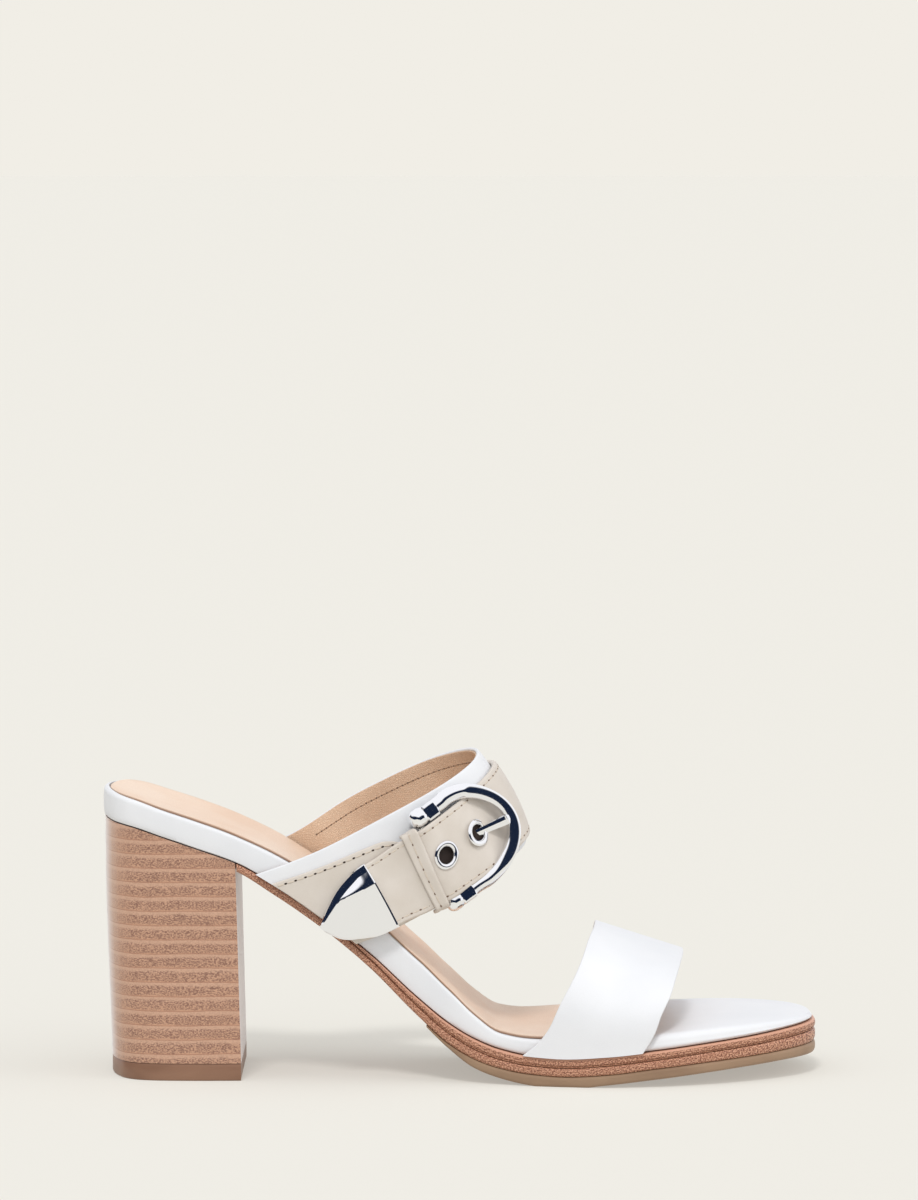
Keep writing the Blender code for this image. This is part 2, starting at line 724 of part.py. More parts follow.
# ------------------------------------------------------------------ belt and buckle
class Course:
    """The belt's way over the instep strap: x along it, side across it to the toes, lift off it."""

    def __init__(self, strap):
        self.strap = strap
        self.line = Curve([row.along for row in BELT_LINE], [row.across for row in BELT_LINE])
        self.rise = column(BELT_RISE, "lift")
        self.lean = column(LEAN, "lean")
        count = 120
        self.alongs = np.linspace(-0.12, 1.02, count)
        points = [strap.middle(a, self.line(a)) for a in self.alongs]
        step = np.linalg.norm(np.diff(points, axis=0), axis=1)
        self.lengths = np.concatenate(([0.0], np.cumsum(step)))
        self.lengths -= np.interp(BAR, self.alongs, self.lengths)
        self.steps = {}

    def sideways(self, x):
        """Strap coordinates of the middle line at x, and the step to take for each mm sideways."""
        key = round(x, 3)
        if key not in self.steps:
            strap, d = self.strap, 0.004
            along = float(np.interp(x, self.lengths, self.alongs))
            line = self.line(along)
            tangent = (strap.middle(along + d, self.line(along + d))
                       - strap.middle(along - d, self.line(along - d)))
            ahead = (strap.middle(along + d, line) - strap.middle(along - d, line)) / (2 * d)
            beside = (strap.middle(along, line + d) - strap.middle(along, line - d)) / (2 * d)
            skew = -(beside @ tangent) / (ahead @ tangent)
            per_mm = 1 / np.linalg.norm(beside + skew * ahead)
            back = self.lean(x) / np.linalg.norm(ahead)
            self.steps[key] = along, line, skew * per_mm - back, per_mm
        return self.steps[key]

    def on_strap(self, x, side):
        along, line, step_along, step_across = self.sideways(x)
        return along + step_along * side, line + step_across * side

    def at(self, x, side, lift):
        return self.strap.at(*self.on_strap(x, side), lift)

    def on_belt(self, x, side, height):
        """A point at a height over the belt's middle surface."""
        return self.at(x, side, self.rise(x) + height)

    def half(self, x):
        return mix(BELT_END_HALF, BELT_HALF, ease((x - BELT_START) / 12.0))

    def inner_end(self, side):
        """Where the belt comes down to the sole on the inner side of the foot."""
        low, high = 60.0, self.lengths[-1]
        for _ in range(24):
            centre = (low + high) / 2
            point = self.at(centre, side, BELT_RISE[-1].lift)
            if point[2] - seat(point[0]) > BELT_FOOT:
                low = centre
            else:
                high = centre
        return centre

    def rod(self, name, rows, sides, finish, group, flat=1.0):
        """A rod through the rows, whose section stays square to it."""
        centres = np.array([self.at(row.x, row.side, row.lift) for row in rows])
        sections = []
        for k, row in enumerate(rows):
            ahead = centres[min(k + 1, len(rows) - 1)] - centres[max(k - 1, 0)]
            ahead = ahead / np.linalg.norm(ahead)
            up = self.at(row.x, row.side, row.lift + 1.0) - centres[k]
            up = up - (up @ ahead) * ahead
            up = up / np.linalg.norm(up)
            beside = np.cross(ahead, up)
            angles = [2 * math.pi * (i + 0.5) / sides for i in range(sides)]
            spokes = [math.cos(a) * beside + flat * math.sin(a) * up for a in angles]
            sections.append([tuple(centres[k] + row.radius * spoke) for spoke in spokes])
        return loft(name, sections, finish, group, caps=(True, True))

    def disc(self, name, hole, profile, sides, finish, group, solid=False):
        """A profile of (radius, height over the belt) turned about a hole's middle."""
        sections = []
        for i in range(sides + 1):
            c, s = math.cos(2 * math.pi * i / sides), math.sin(2 * math.pi * i / sides)
            sections.append([tuple(self.on_belt(hole.x + r * c, hole.side + r * s, h)) for r, h in profile])
        if solid:
            sections = [list(ring) for ring in zip(*sections[:-1])]
        return loft(name, sections, finish, group, caps=(solid, solid))


def make_overlay(course, finish, group):
    """Covers the strap's outer side under the belt and narrows to the chape that holds the bar."""
    strap = course.strap
    share = [k / (len(OVERLAY) - 1) for k in range(len(OVERLAY))]
    edges = {name: Curve(share, [getattr(row, name) for row in OVERLAY]) for name in Overlay._fields}
    lift = strap.band.wall / 2 + GAP + OVERLAY_WALL / 2
    columns, count = 6, 22
    rows = []
    for k in range(count + 1):
        t = k / count
        row = []
        for c in range(columns + 1):
            across = mix(edges["rear_across"](t), edges["front_across"](t), c / columns)
            along = mix(edges["rear_along"](t), edges["front_along"](t), c / columns)
            foot = strap.foot(-1, across, OVERLAY_FOOT)
            along += (foot - OVERLAY[0].rear_along) * ease(1 - t * 3)
            row.append(tuple(strap.at(along, across, lift)))
        rows.append(row)
    return sheet("side_overlay", rows, OVERLAY_WALL, finish, group)


def make_belt(course, finish, group, cutters):
    columns, count = 6, 52
    shares = [mix(-1.0, 1.0, c / columns) for c in range(columns + 1)]
    ends = [course.inner_end(BELT_HALF * share) for share in shares]
    rows = []
    for k in range(count + 1):
        places = [mix(BELT_START, end, k / count) for end in ends]
        rows.append([tuple(course.on_belt(x, course.half(x) * share, 0.0))
                     for x, share in zip(places, shares)])
    belt = sheet("belt", rows, BELT_WALL, finish, group)
    for number, hole in enumerate(HOLES, 1):
        profile = [(HOLE_RADIUS, -2.5), (HOLE_RADIUS, 2.5)]
        boolean(belt, course.disc(f"hole_{number}", hole, profile, 20, finish, cutters, solid=True),
                "DIFFERENCE")
    return belt


def make_keeper(course, finish, group):
    """A loop over the belt whose two ends come down beside it."""
    side = BELT_HALF + GAP + KEEPER_WALL / 2
    top = BELT_WALL / 2 + GAP + KEEPER_WALL / 2 + 0.1
    corner = 0.8
    rows = []
    for k in range(4):
        x = KEEPER_PLACE + KEEPER_WIDTH * (k / 3 - 0.5)
        high = course.rise(x) + top
        half = [(side, KEEPER_FOOT), (side, mix(KEEPER_FOOT, high - corner, 0.6)), (side, high - corner),
                (side - 0.3 * corner, high - 0.3 * corner), (side - corner, high), (side / 2, high)]
        line = [(-w, lift) for w, lift in half] + [(0.0, high)] + half[::-1]
        rows.append([tuple(course.at(x, w, lift)) for w, lift in line])
    return sheet("keeper", rows, KEEPER_WALL, finish, group)


def make_tip(course, finish, group):
    """The belt's pointed metal tip: a flat face with bevelled sides."""
    base = BELT_RISE[0].lift - BELT_WALL / 2
    rear, front, bevel = (Curve([-row.x for row in TIP], [getattr(row, name) for row in TIP])
                          for name in ("rear", "front", "bevel"))
    sections = []
    length = TIP[0].x - TIP[-1].x
    count = 14
    for k in range(count + 1):
        x = TIP[0].x - length * math.sin(math.pi / 2 * k / count)
        a, b, c = rear(-x), front(-x), bevel(-x)
        low, high = base + 1.0, base + TIP_HEIGHT
        across = [(-a, base), (-a, low), (c - a, high), (mix(c - a, b - c, 0.5), high), (b - c, high),
                  (b, low), (b, base), (mix(-a, b, 0.5), base)]
        sections.append([tuple(course.at(x, w, lift)) for w, lift in across])
    return loft("belt_tip", sections, finish, group, caps=(True, True))


def make_buckle(course, finish, group, cutters):
    """A frame with a knob at each end of its bar, and the prong through the belt."""
    arc = []
    count = 16
    last = FRAME_ARM[-1]
    for k in range(1, count):
        angle = math.pi * k / count
        share = math.sin(angle)
        arc.append(Rod(FRAME_CENTRE + FRAME_RADIUS * share, FRAME_RADIUS * math.cos(angle),
                       mix(last.lift, FRAME_APEX, ease(1.6 * share)), last.radius))
    other = [row._replace(side=-row.side) for row in FRAME_ARM]
    rows = [row._replace(side=row.side + FRAME_SIDE) for row in FRAME_ARM + arc + other[::-1]]
    frame = course.rod("buckle_frame", rows, 10, finish, group, FRAME_FLAT)
    knob = FRAME_ARM[2]
    bar = [Rod(0.0, knob.side * k / 3 + FRAME_SIDE, 3.9, BAR_RADIUS) for k in range(3, -4, -1)]
    boolean(frame, course.rod("bar", bar, 8, finish, cutters), "UNION")
    course.rod("buckle_prong", PRONG, 8, finish, group)
    for number, hole in enumerate(HOLES, 1):
        course.disc(f"eyelet_{number}", hole, EYELET, 20, finish, group)


def build():
    clear_scene()
    parts = collection("slide_sandal")
    cutters = collection("cutters")
    white = material("white leather", (0.86, 0.86, 0.88), 0.45)
    lining = material("tan sock leather", (0.75, 0.52, 0.36), 0.6)
    leather = material("brown sole leather", (0.35, 0.14, 0.08), 0.55)
    rubber = material("rubber", (0.36, 0.27, 0.18), 0.7)
    stack = material("stacked leather", (0.48, 0.29, 0.17), 0.6)
    lift = material("top lift rubber", (0.33, 0.2, 0.12), 0.6)
    bone = material("bone leather", (0.72, 0.66, 0.55), 0.5)
    chrome = material("polished metal", (0.8, 0.8, 0.82), 0.12, 1.0)

    footbed = make_footbed(white, parts)
    make_sock(lining, parts)
    make_sole(leather, rubber, parts)
    make_heel(stack, lift, parts)

    instep = Strap(INSTEP, INSTEP_WRAP)
    toe = Strap(TOE, TOE_WRAP)
    for name, strap, columns, count in (("instep_strap", instep, 6, 40), ("toe_strap", toe, 6, 26)):
        rows = strap.rows([c / columns for c in range(columns + 1)], count)
        sheet(name, rows, strap.band.wall, white, parts)
        for side, word in ((-1, "outer"), (1, "inner")):
            cutter = strap.recess(f"{name}_{word}_recess", side, white, cutters)
            boolean(footbed, cutter, "DIFFERENCE")

    course = Course(instep)
    make_overlay(course, bone, parts)
    make_belt(course, bone, parts, cutters)
    make_keeper(course, bone, parts)
    make_tip(course, chrome, parts)
    make_buckle(course, chrome, parts, cutters)


build()
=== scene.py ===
# %% [markdown]
# # A two-band slide sandal on a block heel
#
# The packed model gives the sandal's solids as a frame of faceted pieces.  This notebook rebuilds
# each visible surface finely around that frame: the padded footbed and its lining, the layered
# sole, the stacked heel, both bands and the belt with its metal parts.  Then it sews the seams and
# mixes the leathers, rubber and metal out of shader nodes.

# %% Load the frame
import math
from collections import namedtuple

import bmesh
import bpy
import numpy as np
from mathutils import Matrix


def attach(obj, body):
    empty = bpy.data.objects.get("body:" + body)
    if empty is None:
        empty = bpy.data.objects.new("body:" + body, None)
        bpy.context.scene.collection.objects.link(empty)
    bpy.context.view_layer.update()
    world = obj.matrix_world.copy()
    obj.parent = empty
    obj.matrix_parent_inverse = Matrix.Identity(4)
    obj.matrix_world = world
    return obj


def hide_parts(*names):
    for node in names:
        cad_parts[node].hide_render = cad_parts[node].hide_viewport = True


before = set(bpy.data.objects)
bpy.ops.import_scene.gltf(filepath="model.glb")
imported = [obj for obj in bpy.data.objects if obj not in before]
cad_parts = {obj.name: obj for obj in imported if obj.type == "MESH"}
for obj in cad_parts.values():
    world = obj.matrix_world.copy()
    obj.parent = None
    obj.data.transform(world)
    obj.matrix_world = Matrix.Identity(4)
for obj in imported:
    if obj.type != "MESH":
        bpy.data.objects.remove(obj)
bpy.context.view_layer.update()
MM = 0.001
scene = bpy.context.scene
print(len(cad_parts), "nodes in the frame")

# %% [markdown]
# ## Trees of nodes
#
# The sky, every finish and every seam is a tree of nodes: each node does one small thing, and
# links carry its result to the next.  Written out in full, one node takes a line for each of its
# inputs. This helper makes a node, fills its inputs with values or with other nodes' outputs, and
# hands back its own output, so that a tree reads like a list of steps.


# %% Node helper
class Nodes:
    """Adds nodes to one tree.  Inputs take numbers, colours or other nodes' outputs."""

    def __init__(self, tree):
        self.tree = tree

    def fill(self, node, inputs):
        for key, value in inputs.items():
            socket = node.inputs[key]
            if isinstance(value, bpy.types.NodeSocket):
                self.tree.links.new(value, socket)
            else:
                socket.default_value = (*value, 1.0) if socket.type == "RGBA" else value

    def __call__(self, kind, inputs=None, out=0, **settings):
        node = self.tree.nodes.new(kind)
        for key, value in settings.items():
            setattr(node, key, value)
        self.fill(node, inputs or {})
        return node.outputs[out] if len(node.outputs) else node

    def math(self, operation, *values):
        return self("ShaderNodeMath", dict(enumerate(values)), operation=operation)

    def graded(self, value, start, end, low, high, kind="LINEAR"):
        """A value between start and end, taken to the range from low to high."""
        return self("ShaderNodeMapRange", {"Value": value, "From Min": start, "From Max": end,
                                           "To Min": low, "To Max": high}, interpolation_type=kind)

    def mixed(self, share, one, other, blend="MIX"):
        """One colour, with a share of the other over it."""
        return self("ShaderNodeMix", {"Factor": share, "A": one, "B": other}, "Result",
                    data_type="RGBA", blend_type=blend)

    def noise(self, place, scale, detail=3.0, stretch=None):
        if stretch:
            place = self("ShaderNodeMapping", {"Vector": place, "Scale": stretch})
        return self("ShaderNodeTexNoise", {"Vector": place, "Scale": scale, "Detail": detail},
                    "Fac")

    def ramp(self, value, *stops):
        """A colour for each value, smooth between the stops; a stop given as a number is grey."""
        node = self.tree.nodes.new("ShaderNodeValToRGB")
        points = node.color_ramp.elements
        while len(points) < len(stops):
            points.new(0.5)
        for point, (where, colour) in zip(points, stops):
            point.position = where
            point.color = (*(colour if isinstance(colour, tuple) else (colour,) * 3), 1.0)
        self.fill(node, {"Fac": value})
        return node.outputs["Color"]

    def attribute(self, name, out="Fac"):
        return self("ShaderNodeAttribute", out=out, attribute_name=name)

    def relief(self, height, strength, distance=0.0002, invert=False):
        return self("ShaderNodeBump",
                    {"Height": height, "Strength": strength, "Distance": distance}, invert=invert)


finishes = {}


def new_finish(name, colour, roughness, metallic=0.0):
    """A plain material, with a helper that adds nodes to it and its shader to lead them to."""
    finish = finishes[name] = bpy.data.materials.new(name)
    finish.use_nodes = True
    node, shader = Nodes(finish.node_tree), finish.node_tree.nodes["Principled BSDF"]
    node.fill(shader, {"Base Color": colour, "Roughness": roughness, "Metallic": metallic})
    print("finish:", name)
    return node, shader


def placed(name, data):
    """An object that holds the data, at the origin of the scene."""
    item = bpy.data.objects.new(name, data)
    scene.collection.objects.link(item)
    return item


print("helpers:", ", ".join(name for name in vars(Nodes) if not name.startswith("_")))

# %% [markdown]
# ## Camera and light
#
# A long lens keeps the sandal's proportions, seen as in a shop window, from the side and a little
# above.  Three soft suns and a pale sky light it evenly: suns fall on the whole floor alike, so
# the floor stays one plain tone with only the soft shadow on it.

# %% Camera
camera_data = bpy.data.cameras.new("camera")
camera_data.lens = 187.5
camera_data.sensor_width = 36.0
camera = placed("camera", camera_data)
camera.location = (0.0, -1.9838, 0.2991)
camera.rotation_euler = (math.radians(85.712), 0.0, math.radians(0.011))
scene.camera = camera
scene.view_settings.view_transform = "Standard"
print("camera", round(camera.location.length, 2), "m away, lens", camera_data.lens, "mm")


# %% Suns
def sun(name, strength, softness, tilt, turn):
    """A sun that shines from tilt degrees off straight down, from the side that turn gives."""
    data = bpy.data.lights.new(name, "SUN")
    data.energy = strength
    data.angle = math.radians(softness)
    item = placed(name, data)
    item.rotation_euler = (math.radians(tilt), 0.0, math.radians(turn))
    item.visible_glossy = False      # leather and metal shine with the sky alone


sun("key_sun", 1.30, 12.0, 36.0, -10.0)
sun("front_sun", 0.15, 50.0, 62.0, 12.0)
sun("side_sun", 0.55, 45.0, 66.0, 78.0)
print(len(bpy.data.lights), "suns")

# %% Sky
BACKDROP = (0.879, 0.854, 0.791)
OVERHEAD_LIGHT = (0.97, 0.985, 1.0)
ROOM_WALL = (1.02, 1.02, 1.05)       # what polished metal sees of the pale room
ROOM_DARK = (0.010, 0.018, 0.042)    # and of its dark side, behind and left of the camera
DARK_SIDE = (-0.454, -0.891, 0.0)


def make_sky():
    """A pale sky, brighter overhead.  Polished metal also sees the dark room behind the camera."""
    world = scene.world = bpy.data.worlds.new("sky")
    world.use_nodes = True
    world.node_tree.nodes.clear()
    node = Nodes(world.node_tree)
    rays = node("ShaderNodeLightPath").node.outputs
    way = node("ShaderNodeTexCoord", out="Generated")
    part = node("ShaderNodeSeparateXYZ", {0: way}).node.outputs
    higher = node.graded(part["Z"], 0.1, 1.0, 0.62, 1.08)
    nearer = node.graded(part["Y"], -0.1, 0.6, 1.0, 0.5, "SMOOTHSTEP")
    fill = node("ShaderNodeBackground", {"Color": OVERHEAD_LIGHT,
                                         "Strength": node.math("MULTIPLY", higher, nearer)})
    aside = node("ShaderNodeVectorMath", {0: way, 1: DARK_SIDE}, "Value", operation="DOT_PRODUCT")
    behind = node.graded(aside, -0.05, 0.12, 0.0, 1.0, "SMOOTHSTEP")
    below = node.graded(part["Z"], 0.40, 0.52, 1.0, 0.0, "SMOOTHSTEP")
    room_tone = node.mixed(node.math("MULTIPLY", behind, below), ROOM_WALL, ROOM_DARK)
    room = node("ShaderNodeBackground", {"Color": room_tone})
    plain = node("ShaderNodeBackground", {"Color": BACKDROP})
    light = node("ShaderNodeMixShader", {"Fac": rays["Is Glossy Ray"], 1: fill, 2: room})
    seen = node("ShaderNodeMixShader", {"Fac": rays["Is Camera Ray"], 1: light, 2: plain})
    node("ShaderNodeOutputWorld", {"Surface": seen})
    print("sky of", len(world.node_tree.nodes), "nodes")


make_sky()

# %% Floor
FLOOR_HALF = 40.0     # metres: far enough that its edge is never seen
FLOOR_TONE = (0.430, 0.418, 0.386)
FLOOR_GLOW = 0.42     # share of the floor's tone that it gives off itself


def make_floor():
    """A wide sweep that glows a little, as a lit paper sweep does, so that shadows stay pale."""
    mesh = bpy.data.meshes.new("floor")
    sides = (-1, -1), (1, -1), (1, 1), (-1, 1)
    mesh.from_pydata([(x * FLOOR_HALF, y * FLOOR_HALF, 0) for x, y in sides], [], [(0, 1, 2, 3)])
    node, shader = new_finish("pale floor", FLOOR_TONE, 1.0)
    node.fill(shader, {"Specular IOR Level": 0.0, "Emission Strength": 1.0,
                       "Emission Color": [FLOOR_GLOW * part for part in BACKDROP]})
    mesh.materials.append(finishes["pale floor"])
    placed("floor", mesh)
    print("floor", 2 * FLOOR_HALF, "m wide")


make_floor()

# %% [markdown]
# ## The sandal in tables
#
# A shoe has hardly a straight line, but each of its curves is simple when it is read at one place
# after another.  So its measures are kept in tables, in millimetres: how wide and how high it is
# so far from the back of the heel, how far a band has climbed so far across the foot, how much the
# belt rises so far along it.  A table is easy to correct, because one row moves one place and no
# other.
#
# x runs from the back of the heel to the toe, y from the outer side (minus) to the inner side
# (plus), z up from the floor.

# %% Tables of the sole
def table(columns, *rows):
    """Rows of measures with named columns; the first says where a row stands."""
    Row = namedtuple("Row", columns)
    return [Row(*row) for row in rows]


GAP = 0.3             # air between two pieces that touch on the real sandal
LENGTH = 227.0        # back of the heel to the tip of the toe

# Half-widths of the footbed, to the outer and to the inner side of the foot.
OUTLINE = table("x outer inner",
    (0.0, 0.0, 0.0), (2.0, 15.0, 14.8), (5.0, 22.4, 21.8), (10.0, 26.9, 26.1), (18.0, 28.9, 28.1),
    (30.0, 29.4, 28.6), (50.0, 28.7, 26.8), (75.0, 27.3, 23.3), (100.0, 28.6, 22.6),
    (125.0, 33.6, 28.0), (145.0, 38.4, 35.2), (162.0, 40.6, 39.8), (177.0, 39.4, 40.6),
    (192.0, 35.0, 38.4), (205.0, 28.6, 34.0), (215.0, 21.2, 27.8), (222.0, 13.0, 20.0),
    (225.0, 6.4, 12.0), (225.8, 0.0, 0.0))

# seat: top of the sole; rim: height of the footbed above it; dish: hollow of the footbed; round:
# radius of its upper edge; sole, welt: thickness of all the leather and of its upper layer; ledge:
# how far the leather stands out past the footbed.
PROFILE = table("x seat rim dish round sole welt ledge",
    (0.0, 82.3, 9.5, 0.8, 1.6, 2.2, 0.0, 0.0),
    (10.0, 80.5, 8.9, 1.4, 1.6, 2.2, 0.0, 0.0),
    (20.0, 77.3, 8.8, 1.6, 1.6, 2.2, 0.0, 0.0),
    (30.0, 73.9, 8.9, 1.6, 1.6, 2.2, 0.0, 0.0),
    (43.0, 69.2, 8.7, 1.4, 1.6, 2.4, 0.0, 0.3),
    (55.0, 62.3, 9.9, 1.0, 1.6, 3.0, 0.0, 0.7),
    (70.0, 52.0, 11.0, 0.6, 1.6, 3.3, 0.0, 0.9),
    (85.0, 40.4, 12.0, 0.4, 1.6, 4.2, 1.4, 1.0),
    (100.0, 26.6, 12.2, 0.4, 1.6, 5.4, 2.4, 1.1),
    (110.0, 18.6, 10.6, 0.6, 1.6, 6.2, 2.9, 1.2),
    (118.0, 14.0, 7.6, 0.9, 1.6, 6.1, 3.0, 1.3),
    (126.0, 11.0, 5.3, 1.0, 1.6, 5.7, 2.9, 1.4),
    (135.0, 9.3, 5.6, 0.9, 1.7, 5.5, 2.8, 1.4),
    (146.0, 8.8, 6.1, 0.6, 2.0, 5.6, 2.8, 1.4),
    (160.0, 9.7, 5.9, 0.0, 2.4, 5.6, 2.7, 1.4),
    (175.0, 11.3, 5.3, -0.4, 2.8, 5.4, 2.6, 1.3),
    (190.0, 12.9, 4.7, -0.7, 2.8, 5.6, 2.5, 1.2),
    (205.0, 14.4, 3.9, -0.8, 2.4, 6.0, 2.6, 1.2),
    (218.0, 15.8, 2.7, -0.6, 1.6, 6.4, 2.7, 1.2),
    (227.0, 16.7, 1.5, 0.0, 0.6, 6.7, 2.8, 1.2))

# Underside of the rubber; below zero the floor has worn it flat.
TREAD = table("x low",
    (100.0, 20.4), (110.0, 10.8), (118.0, 5.0), (126.0, 2.1), (134.0, 0.4), (141.0, -0.3),
    (150.0, -0.3), (158.0, 0.6), (175.0, 2.5), (190.0, 4.0), (205.0, 5.3), (218.0, 6.1),
    (227.0, 6.3))
RUBBER_START = 103.0  # where the rubber outsole begins, feathered out under the waist
WELT_START = 72.0     # where the upper layer of leather begins

# up: 0 at the floor, 1 at the seat; back and breast: x; half: half-width.
HEEL = table("up back breast half",
    (0.00, 2.4, 44.3, 26.6),
    (0.25, 1.7, 43.9, 26.9),
    (0.50, 1.0, 43.5, 27.3),
    (0.75, 0.5, 43.1, 27.9),
    (1.00, 0.4, 42.7, 28.7))
LIFT_HEIGHT = 5.4     # the heel's top lift
print(len(OUTLINE), "widths,", len(PROFILE), "heights and", len(HEEL), "levels of the heel")

# %% Tables of the bands
SIDE_GAP = 0.4        # between a strap and the side of the footbed

# side: -1 outer, 1 inner side of the foot; rise: 0 sole, 1 crest; ahead and front: how far its rear
# and front edges lie ahead of a straight line from the sole to the crest.
INSTEP_WRAP = table("side rise ahead front",
    (-1.00, 0.06, 2.2, 1.5),
    (-0.99, 0.18, 5.0, 3.5),
    (-0.94, 0.37, 6.0, 4.2),
    (-0.82, 0.57, 6.4, 4.5),
    (-0.60, 0.77, 6.2, 4.3),
    (-0.26, 0.93, 3.8, 2.7),
    (0.18, 1.00, 0.0, 0.0),
    (0.58, 0.97, -3.0, -2.1),
    (0.84, 0.86, -5.6, -3.9),
    (0.96, 0.66, -5.8, -4.1),
    (1.00, 0.42, -3.6, -2.5),
    (1.00, 0.20, 0.4, 0.3),
    (1.00, 0.06, 1.4, 1.0))
TOE_WRAP = table("side rise ahead front",
    (-1.00, 0.08, 1.6, 0.2),
    (-1.00, 0.22, 2.2, 0.2),
    (-0.985, 0.40, 1.1, -0.6),
    (-0.92, 0.60, 0.4, -0.7),
    (-0.77, 0.79, -0.4, -1.2),
    (-0.50, 0.925, -1.2, -1.3),
    (-0.12, 0.99, -0.5, -0.6),
    (0.24, 1.00, 0.2, 0.0),
    (0.56, 0.94, 0.9, 0.2),
    (0.80, 0.80, 1.8, 0.5),
    (0.94, 0.59, 2.2, 0.5),
    (0.99, 0.40, 1.8, 0.3),
    (1.00, 0.22, 1.2, 0.1),
    (1.00, 0.08, 0.4, 0.0))

# Where its edges leave the sole (x), on the outer and on the inner side; the top of its rear and of
# its front edge (x, z); half-widths there; hug: share of the rise that lies against the footbed;
# wall: thickness; crown: how far its crest bulges.
Band = namedtuple("Band", "outer_rear outer_front inner_rear inner_front rear_crest front_crest "
                          "rear_half front_half hug wall crown")
INSTEP = Band(50.5, 82.0, 48.0, 79.0, (118.2, 101.9), (133.6, 73.4), 28.6, 25.8, 0.30, 1.8, 1.6)
TOE = Band(134.2, 171.5, 146.0, 174.0, (156.4, 45.8), (185.0, 36.6), 40.0, 40.0, 0.50, 1.6, 0.0)
print("walls of", INSTEP.wall, "and", TOE.wall, "mm")

# %% Tables of the belt
# The belt's middle on the instep strap, from outer to inner side.
BELT_LINE = table("along across",
    (0.0, 0.665), (0.10, 0.655), (0.19, 0.640), (0.29, 0.603), (0.35, 0.580), (0.46, 0.555),
    (0.70, 0.600), (1.0, 0.640))
BAR = 0.222           # where the buckle's bar crosses that line

# From here on "x" is a place along the belt: 0 at the buckle's bar, positive to the inner side.
# LEAN says how far everything on the belt leans back for each mm to its front side, BELT_RISE how
# far the belt's middle lies over the strap's: over the bar, the prong and then the strap.
LEAN = table("x lean",
    (-20.0, -0.03), (-12.0, 0.06), (-5.0, 0.14), (3.0, 0.16), (12.0, 0.11), (24.0, 0.03),
    (35.0, 0.0))
BELT_RISE = table("x lift",
    (-21.0, 3.4), (-13.0, 3.4), (-7.0, 4.3), (-2.5, 6.2), (0.5, 6.6), (5.0, 5.8), (11.0, 5.0),
    (15.5, 4.4), (19.0, 3.2), (23.0, 2.4), (28.0, 2.1))
BELT_HALF = 12.0
BELT_END_HALF = 11.0  # at its straight end
BELT_WALL = 1.8
BELT_START = -20.3    # the belt's straight end, in the metal tip
BELT_FOOT = 0.8       # its other end above the sole, on the inner side

# Both edges of the piece under the belt, in the strap's own coordinates; the first row is brought
# down to the sole.
OVERLAY = table("rear_along rear_across front_along front_across",
    (-0.02, 0.150, -0.02, 1.0),
    (0.060, 0.164, 0.040, 1.0),
    (0.120, 0.179, 0.090, 1.0),
    (0.172, 0.208, 0.120, 1.0),
    (0.187, 0.250, 0.140, 1.0),
    (0.202, 0.300, 0.160, 1.0),
    (0.250, 0.285, 0.192, 0.99))
OVERLAY_WALL = 1.0

KEEPER_PLACE = -5.2
KEEPER_WIDTH = 4.8
KEEPER_WALL = 1.2
KEEPER_FOOT = 2.6     # lift of the loop's ends
print("belt", 2 * BELT_HALF, "mm wide, from", BELT_START, "mm")

# %% Tables of the metal parts
# How far the belt's metal tip reaches to its rear and to its front side.
TIP = table("x rear front",
    (-20.6, 11.3, 11.4), (-24.5, 10.6, 11.1), (-29.0, 8.9, 10.2), (-33.0, 6.7, 9.0),
    (-36.6, 3.6, 7.4), (-39.2, 0.9, 5.0), (-40.8, -0.8, 3.0), (-41.4, -1.5, 1.9))
TIP_HEIGHT = 2.9

FRAME_CENTRE = 11.0   # of the round end
FRAME_SIDE = -0.7     # the whole frame sits a little to the rear on the belt
FRAME_RADIUS = 15.3
FRAME_FLAT = 0.88     # its thickness, as a share of its width
BAR_RADIUS = 1.3

# From beside the bar, under the belt, then straight up through its second hole; low: how much lower
# than elsewhere its top is.
PRONG = table("x side lift radius low",
    (2.0, -0.5, 2.3, 1.0, 0.0),
    (6.5, -0.5, 2.2, 1.0, 0.0),
    (10.5, -0.6, 1.9, 1.0, 0.0),
    (12.92, -0.75, 2.0, 1.1, 0.0),
    (14.84, -0.41, 2.66, 1.15, 0.0),
    (16.23, -0.15, 3.2, 1.2, 0.0),
    (18.02, 0.18, 3.99, 1.27, 0.0),
    (19.72, 0.48, 4.87, 1.35, 0.0),
    (21.33, 0.78, 5.83, 1.44, 0.0),
    (22.82, 1.07, 6.87, 1.52, 0.0),
    (23.39, 1.18, 7.33, 1.55, 0.0),
    (23.6, 1.23, 7.5, 1.55, 0.14),
    (23.8, 1.27, 7.66, 1.55, 0.0),
    (24.5, 1.4, 8.25, 1.35, 0.34))
HOLES = table("x side", (2.7, -0.7), (15.3, -0.5))
print(len(HOLES), "holes,", len(PRONG), "places of the prong")

# %% [markdown]
# ## Curves through the tables
#
# Straight lines between rows would give creases at every row, and an ordinary spline swings past
# its rows where they change quickly.  The curve used here takes its slopes from the rows on both
# sides and never overshoots, so a thickness can't turn negative between two rows.  Lines in space,
# such as a band's edge, use a natural cubic spline instead, which bends as evenly as a springy
# lath.


